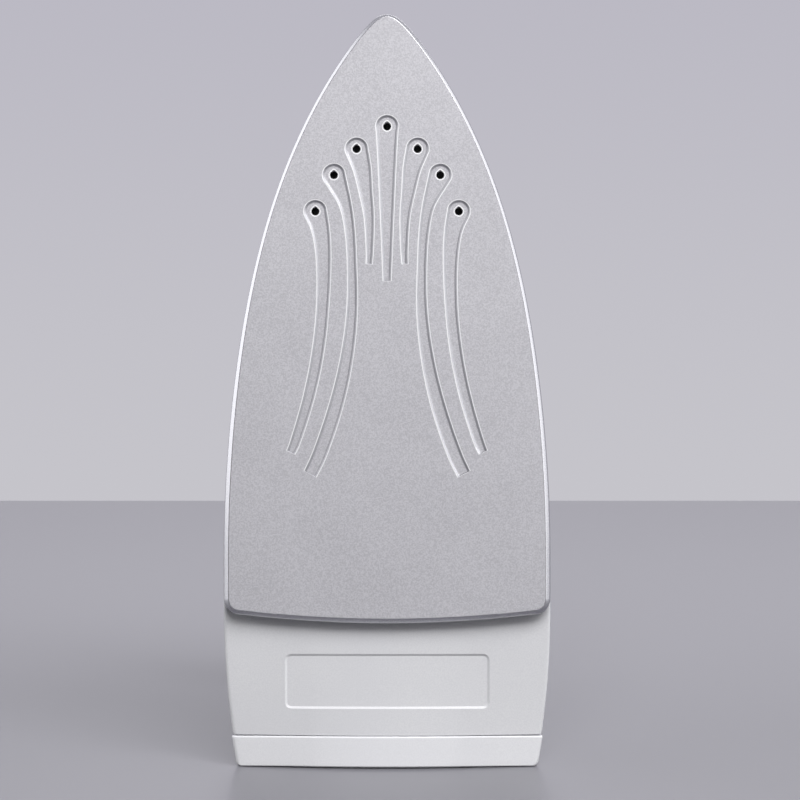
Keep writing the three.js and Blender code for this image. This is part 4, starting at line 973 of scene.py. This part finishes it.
def panel_recess():
    """The shallow bare panel in the apron, with a sloping rim."""
    rings = []
    rows = (
        (-RIM_ABOVE, PANEL_FRONT), (-RIM_ABOVE, -RIM_ABOVE),
        (RIM_BELOW, RIM_BELOW), (RIM_BELOW, PANEL_BACK),
    )
    for slope_depth, depth in rows:
        grow = RIM_RUN * (RECESS_DEPTH - slope_depth)
        box = (RECESS_HALF + grow, RECESS_LOW - grow, RECESS_HIGH + grow, max(RECESS_CORNER + grow, 0.5))
        outline = rounded_box(*box, along_edges=24)
        rings.append([Vector((x, apron_front(x, z) + depth, z)) for x, z in outline])
    return cut(loft(rings), lower_solid(RECESS_DEPTH))


def build_lower_housing():
    """The skirt, open under the sole, with the apron and its panel below it."""
    opening = plate(sole_outline(OPENING_INSET), -SIDE_ROOM, OPENING_BACK)
    part = cut(copy_of(skin), above_seam(-SEAM / 2))
    part = common(part, above_heel(CAP_HEIGHT + CAP_GAP, CAP_ARCH - GAP_GROWS))
    part = cut(part, opening, panel_recess())
    part = together(softened(part, EDGE), inner_half("lower_housing"))
    finished(part, "apron_housing", "white_plastic", stands_for=["lower_housing"], angle=20)


def build_handle_body():
    """The upper shell with its handle, cut out for the dial, the lens, the trigger and the gland."""
    z = LENGTH - DIAL_ALONG
    pocket = post(0, z, POCKET_RADIUS, DIAL_FLOOR, POCKET_REACH, steps=96)
    pad = post(0, z, PAD_RADIUS, DIAL_FLOOR - PAD_THICK, DIAL_FLOOR, steps=96)
    pad = common(cut(pad, post(0, z, SPINDLE_HOLE, 0, SPINDLE_REACH)), copy_of(outer_shell))
    lens_hole = plate(stadium(SEAT), *LENS_HOLE)
    half = TRIGGER_HALF + TRIGGER_ROOM
    slot_low, slot_high = TRIGGER_REAR - SLOT_REAR, TRIGGER_ALONG + TRIGGER_HUB + SLOT_TIP
    slot = block((-half, half), (TRIGGER_BOTTOM - SIDE_ROOM, TRIGGER_BACK), (slot_low, slot_high))
    part = common(copy_of(skin), above_seam(SEAM / 2), above_heel(CAP_HEIGHT + SEAM, CAP_ARCH))
    part = softened(cut(part, cover_zone(SEAM)), EDGE)
    collar_seat = gland_post(-GLAND_FLAT, GLAND_COLLAR + SEAT, 0, SIDE_ROOM)
    sleeve_hole = gland_post(0, GLAND_SLEEVE + SEAT, GLAND_INNER_END, SIDE_ROOM)
    part = cut(part, slot, pocket, lens_hole, collar_seat, sleeve_hole)
    part = together(part, pad, inner_half("handle_body"))
    finished(part, "handle_shell", "white_plastic", stands_for=["handle_body"])


def build_handle_cover():
    """The grip on the outer side of the handle."""
    part = common(copy_of(skin), cover_zone(0))
    part = together(softened(part, EDGE), inner_half("handle_cover"))
    finished(part, "grip_cover", "grip_plastic", stands_for=["handle_cover"])


def build_rear_cover():
    """The heel cap, with a well for each of its screws."""
    outer = joined(lower_solid(-CAP_LIP), grip_solid())
    part = common(outer, above_heel(FOOT_ARCH, FOOT_ARCH, FOOT_ROUND))
    part = cut(part, above_heel(CAP_HEIGHT, CAP_ARCH), copy_of(core))
    base = math.tan(LEAN) * (WELL_BACK - HEEL_FRONT)
    for side in (-1, 1):
        low, high = base + WELL_LOW, base + WELL_HIGH
        part = cut(part, rod_along(side * WELL_ACROSS, WELL_BACK, WELL_RADIUS, low, high))
    part = together(softened(part, CAP_EDGE), inner_half("rear_cover"))
    finished(part, "heel_cap", "cap_plastic", stands_for=["rear_cover"])


# Dial, lamp, gland and trigger

DIAL_ALONG, DIAL_SINK = 157.5, 3.6
DIAL_FLOOR = DECK * from_table(DECK_SHARES, 1 - DIAL_ALONG / LENGTH) - DIAL_SINK
# The pocket stops short of the handle over it
POCKET_RADIUS, POCKET_REACH = 24.2, 80
PAD_RADIUS, PAD_THICK, SPINDLE_HOLE, SPINDLE_REACH = 27, 3, 3.5, 60
DIAL_RADIUS, KNOB_BORE, KNOB_BORE_TOP = 23, 3.3, 5.3
RIDGES, STEPS_PER_RIDGE, RIDGE_POWER = 30, 8, 0.6
# The knob from its seat to its sunk top: how far in, how high, and how deep its ridges are
KNOB_ROWS = (
    (0.3, 0, 0.5), (0, 0.3, 0.6), (0, 5.6, 0.6), (0.25, 6.3, 0.5),
    (0.9, 6.85, 0.25), (1.9, 7, 0), (5, 6.9, 0), (6, 6.6, 0),
)
# The pointer bar: how far in and how high
BAR_ROWS = ((0, 3), (0, 8.6), (0.25, 9.4), (0.8, 9.85), (1.5, 10))
BAR_HALF, BAR_REACH, BAR_ROUND = 3.2, 19, 3.0
POINTER_HALF, POINTER_FROM, POINTER_TO = 0.35, 6, 17.6
POINTER_FLOOR, POINTER_REACH = 9.6, 20
# The settings: how many dots each has, and where it is on the dial in degrees
SETTINGS = ((1, 40), (2, 95), (3, 150), (1, 209.5))
DOT_PLACE, DOT_RADIUS, DOT_SPREAD = 18.9, 0.75, 9
DOT_LOW, DOT_HIGH = 6.6, 7.08

PILOT_ALONG, PILOT_HALF, PILOT_RADIUS, PILOT_TOP = 213.5, 4.5, 2.5, 48
LENS_HOLE = (33, 78)
# The lens: how far out of its outline and how far above the deck
LENS_ROWS = ((-0.3, -7.5), (0, -7.2), (0, 0.35), (-0.2, 0.62), (-0.7, 0.76), (-1.5, 0.8))

GLAND_BACK, GLAND_ALONG, GLAND_TILT, GLAND_FLAT = 129, 42, math.radians(12), 1.9
GLAND_BORE, GLAND_SLEEVE, GLAND_COLLAR, GLAND_TIP = 5, 8, 10.5, 7
GLAND_INNER_END, GLAND_END, GLAND_LIP = -12, 22, 0.4
COLLAR_END, RIBS, RIB_GAP = 3, 4, 0.2
COLLAR_ROWS = ((-0.3, SEAT), (0, 0.6), (0, 2.2), (-0.25, 2.75), (-0.9, COLLAR_END))
# Past the collar each rib rises and falls: how far out of its own radius, and at which share of its pitch
RIB_ROWS = ((-1, 0.36), (-0.8, 0.4), (-0.25, 0.44), (0, 0.54), (0, 0.86), (-0.25, 0.96), (-0.7, 1))

TRIGGER_BACK, TRIGGER_ALONG, TRIGGER_HALF, TRIGGER_HUB = 106, 156, 8, 4
TRIGGER_TOP, TRIGGER_REAR, TRIGGER_BOTTOM = 108, 119.5, 89.5
TRIGGER_ROOM, TRIGGER_EDGE, SLOT_REAR, SLOT_TIP = 0.7, 0.5, 2.8, 1.5
WINDOW_HALF, PIN_HOLE = 3.6, 1.8


def stadium(grow, steps=18):
    """The lens's outline, wider by grow."""
    z = LENGTH - PILOT_ALONG
    outline = []
    for side in (1, -1):
        for step in range(steps + 1):
            angle = math.pi * (step / steps - 0.5)
            reach = (PILOT_RADIUS + grow) * side
            outline.append((side * PILOT_HALF + reach * math.cos(angle), z + reach * math.sin(angle)))
    return outline


def at_gland(part):
    """The part that was made about z, moved to where the gland leaves the handle."""
    tilt = Matrix.Rotation(-GLAND_TILT, 4, "X")
    return placed(part, BACKWARDS, tilt, Matrix.Translation((0, GLAND_BACK, GLAND_ALONG)))


def gland_post(distance, radius, low, high):
    near, far = low + distance, high + distance
    return at_gland(turned([(0, near), (radius, near), (radius, far), (0, far)], 64))


def knob_ring(inset, y, ridge):
    """The ridged knob's outline at one height."""
    steps = RIDGES * STEPS_PER_RIDGE
    ring = []
    for step in range(steps):
        angle = step / steps * 2 * math.pi
        wave = 0.5 + 0.5 * math.cos(angle * RIDGES)
        radius = DIAL_RADIUS - inset - ridge * (1 - wave**RIDGE_POWER)
        ring.append(Vector((radius * math.cos(angle), y, LENGTH - DIAL_ALONG + radius * math.sin(angle))))
    return ring


def build_dial():
    """The ridged knob with its pointer bar, and the dots for its settings."""
    z = LENGTH - DIAL_ALONG
    front = DIAL_FLOOR + SEAT
    knob = loft([knob_ring(inset, front + up, ridge) for inset, up, ridge in KNOB_ROWS])
    bar = []
    for inset, up in BAR_ROWS:
        low, high = z - BAR_REACH + inset, z + BAR_REACH - inset
        outline = rounded_box(BAR_HALF - inset, low, high, BAR_ROUND - inset, 10)
        bar.append(level(outline, front + up))
    bore = post(0, z, KNOB_BORE, front - SIDE_ROOM, DIAL_FLOOR + KNOB_BORE_TOP)
    depth, height = (front + POINTER_FLOOR, front + POINTER_REACH), (z + POINTER_FROM, z + POINTER_TO)
    pointer = block((-POINTER_HALF, POINTER_HALF), depth, height)
    knob = cut(joined(knob, loft(bar)), bore, pointer)
    finished(knob, "dial_knob", "dial_plastic", "dial", ["temperature_dial"])
    dots = []
    for count, turn in SETTINGS:
        for index in range(count):
            angle = math.radians(90 - turn - (index - (count - 1) / 2) * DOT_SPREAD)
            x, along_z = DOT_PLACE * math.cos(angle), z + DOT_PLACE * math.sin(angle)
            dots.append(post(x, along_z, DOT_RADIUS, front + DOT_LOW, front + DOT_HIGH, steps=20))
    finished(together(*dots), "dial_dots", "white_plastic", "dial", angle=30)


def build_pilot_lens():
    rings = [level(stadium(grow), PILOT_TOP + up) for grow, up in LENS_ROWS]
    finished(loft(rings), "lamp_lens", "amber_lens", stands_for=["pilot_lens"], angle=40)


def build_gland():
    """The rubber bend protector: a sleeve in the shell, a collar on it and tapering ribs."""
    bore, sleeve = GLAND_BORE, GLAND_SLEEVE
    profile = [(bore, GLAND_INNER_END), (sleeve, GLAND_INNER_END), (sleeve, SEAT)]
    profile += [(GLAND_COLLAR + out, along_it) for out, along_it in COLLAR_ROWS]
    pitch = (GLAND_END - COLLAR_END) / RIBS
    for rib in range(RIBS):
        start = COLLAR_END + rib * pitch
        radius = mix(sleeve, GLAND_TIP, rib / (RIBS - 1)) + 1
        profile.append((radius - 1, start + RIB_GAP))
        profile += [(radius + out, start + pitch * share) for out, share in RIB_ROWS]
    profile += [(bore + GLAND_LIP, GLAND_END), (bore, GLAND_END - GLAND_LIP)]
    ring = placed(turned(profile, 72), Matrix.Translation((0, 0, -GLAND_FLAT)))
    finished(at_gland(ring), "hose_sleeve", "gland_rubber", stands_for=["hose_gland"], angle=50)


def build_trigger():
    """The steam trigger: a finger lever with a hollowed pull, pivoted at its tip end."""
    hub, back, up = TRIGGER_HUB, TRIGGER_BACK, TRIGGER_ALONG
    corners = [
        (back + hub, up + hub, 3.2, 8), (TRIGGER_TOP, up - hub, 2, 4), (TRIGGER_TOP, TRIGGER_REAR, 0.8, 4),
        (back - hub, TRIGGER_REAR, 2, 4), (TRIGGER_BOTTOM + hub, TRIGGER_REAR + hub / 2, 2.5, 6),
        (TRIGGER_BOTTOM, TRIGGER_REAR + 2 * hub, 6, 10), (TRIGGER_BOTTOM + hub / 2, up - 3 * hub, 8, 10),
        (back - 2 * hub, up, 5, 8), (back - hub, up + hub, 3, 6),
    ]
    outline = [(point.x, point.y) for point in rounded(corners)]
    lever = side_plate(outline, -TRIGGER_HALF, TRIGGER_HALF)
    window = block((-WINDOW_HALF, WINDOW_HALF), (back - hub, back + SIDE_ROOM), (up - hub, up + SIDE_ROOM))
    lever = cut(lever, window, rod_across(back, up, PIN_HOLE, -SIDE_ROOM, SIDE_ROOM))
    finished(softened(lever, TRIGGER_EDGE), "steam_button", "grip_plastic", "trigger", ["steam_trigger"])


build_soleplate()
build_lower_housing()
build_handle_body()
build_handle_cover()
build_rear_cover()
drop(outer_shell, core, skin)
build_dial()
build_pilot_lens()
build_gland()
build_trigger()

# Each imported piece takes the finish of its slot
slots = {row["node"]: row["material_slot"] for row in frame["record"]["subparts"]}
for name, node in frame["nodes"].items():
    node.data.materials.clear()
    node.data.materials.append(FINISHES[slots[name]])


# Studio


def stage_plane(name, material, width, depth, place, turn=Matrix.Identity(4)):
    """A flat sheet of the studio, which isn't part of the iron."""
    bm = bmesh.new()
    bmesh.ops.create_grid(bm, x_segments=1, y_segments=1, size=0.5)
    bmesh.ops.scale(bm, vec=(width, depth, 1), verts=bm.verts)
    bmesh.ops.transform(bm, matrix=Matrix.Translation(place) @ turn, verts=bm.verts)
    plane = made(bm)
    plane.name = name
    plane.data.materials.append(material)
    return plane


def floor_finish():
    """Pale where it is seen, with painted shade that makes it darker towards the front, and darker for the
    light that it throws back up.
    """
    paint = Paint("table_top", Roughness=0.28, IOR=1.5, Specular_IOR_Level=0.28)
    spot = paint.node("ShaderNodeTexCoord", output="Object")
    depth = paint.node("ShaderNodeSeparateXYZ", None, [spot], output="Y")
    # Painted shade: the floor is darker towards the front, on the camera's side, and paler towards the
    # back
    colour = paint.tint(paint.share(depth, -0.25, 0.45), linear(120, 119, 126), linear(152, 151, 158))
    return paint.wear(Base_Color=paint.tint(paint.seen(), linear(66, 66, 70), colour))


def backdrop_finish():
    """A pale wall that shines by itself, so that it needs no light of its own."""
    paint = Paint("backdrop", Roughness=1.0)
    spot = paint.node("ShaderNodeTexCoord", output="Object")
    height = paint.node("ShaderNodeSeparateXYZ", None, [spot], output="Z")
    colour = paint.tint(paint.share(height, -0.6, 0.5), linear(196, 195, 201), linear(184, 182, 193))
    paint.wear(Base_Color=(0, 0, 0), Emission_Color=colour)
    paint.shader.inputs["Emission Strength"].default_value = 1.0
    return paint.material


# The studio is in metres
TABLE_BACK, TABLE_DEPTH = 0.603, 4.6
UPRIGHT = Matrix.Rotation(math.pi / 2, 4, "X")
black_cloth = Paint("black_cloth", Base_Color=(0.03, 0.03, 0.03, 1), Roughness=1.0).material
stage_plane("table_top", floor_finish(), 7, TABLE_DEPTH, (0, TABLE_BACK - TABLE_DEPTH / 2, 0))
stage_plane("backdrop", backdrop_finish(), 9, 5, (0, 4, 0.6), UPRIGHT)
# A dark curtain behind the camera keeps the soleplate's reflection deep
curtain = stage_plane("dark_curtain", black_cloth, 9, 5, (0, -4.05, 2.2), UPRIGHT.inverted())
curtain.visible_camera = False


def lamp(name, place, target, width, height, power):
    """A soft light that the camera doesn't see, turned to its target."""
    light = bpy.data.lights.new(name, "AREA")
    light.shape = "RECTANGLE"
    light.size, light.size_y = width, height
    light.energy = power
    holder = bpy.data.objects.new(name, light)
    holder.visible_camera = False
    bpy.context.scene.collection.objects.link(holder)
    holder.location = place
    holder.rotation_euler = (Vector(target) - Vector(place)).to_track_quat("-Z", "Y").to_euler()


lamp("key_softbox", (0.6, -1.5, 1.95), (0, 0, 0.1), 2.6, 1.2, 65)
lamp("right_softbox", (2.3, -1.1, 1.0), (0, 0, 0.14), 3.0, 2.4, 36)
lamp("left_softbox", (-2.5, -0.1, 1.0), (0, 0, 0.14), 2.8, 2.4, 33)
lamp("rear_softbox", (0.4, 2.6, 1.6), (0, 0, 0.14), 2.2, 1.2, 22)

# The world is dim as a light, and pale where it is seen
world = bpy.data.worlds.new("studio")
bpy.context.scene.world = world
world.use_nodes = True
sky = Nodes(world.node_tree)
dim = sky.tree.nodes["Background"]
sky.feed(dim.inputs["Color"], linear(190, 189, 196))
sky.feed(dim.inputs["Strength"], 0.12)
pale = sky.node("ShaderNodeBackground", None, {"Color": linear(190, 189, 197)})
choice = sky.node("ShaderNodeMixShader", None, [sky.seen(), Socket(sky, dim.outputs["Background"]), pale])
sky.feed(sky.tree.nodes["World Output"].inputs["Surface"], choice)

# Camera: the photograph's frame is 800 by 800, and the iron's middle line stands left of its middle
VIEW_DOWN = math.radians(7)
DISTANCE = 1.3
PIXELS_PER_METRE_AT_ONE = 3587.0
FRAME_PIXELS, SENSOR = 800, 36
TARGET = Vector((0.0047, -0.05, 0.1358))
camera_data = bpy.data.cameras.new("camera")
camera_data.sensor_width = SENSOR
camera_data.lens = PIXELS_PER_METRE_AT_ONE / FRAME_PIXELS * SENSOR
camera_data.clip_end = 50
camera = bpy.data.objects.new("camera", camera_data)
bpy.context.scene.collection.objects.link(camera)
forward = Vector((0, math.cos(VIEW_DOWN), -math.sin(VIEW_DOWN)))
camera.location = TARGET - forward * DISTANCE
camera.rotation_euler = forward.to_track_quat("-Z", "Y").to_euler()
bpy.context.scene.camera = camera
bpy.context.scene.view_settings.view_transform = "Standard"
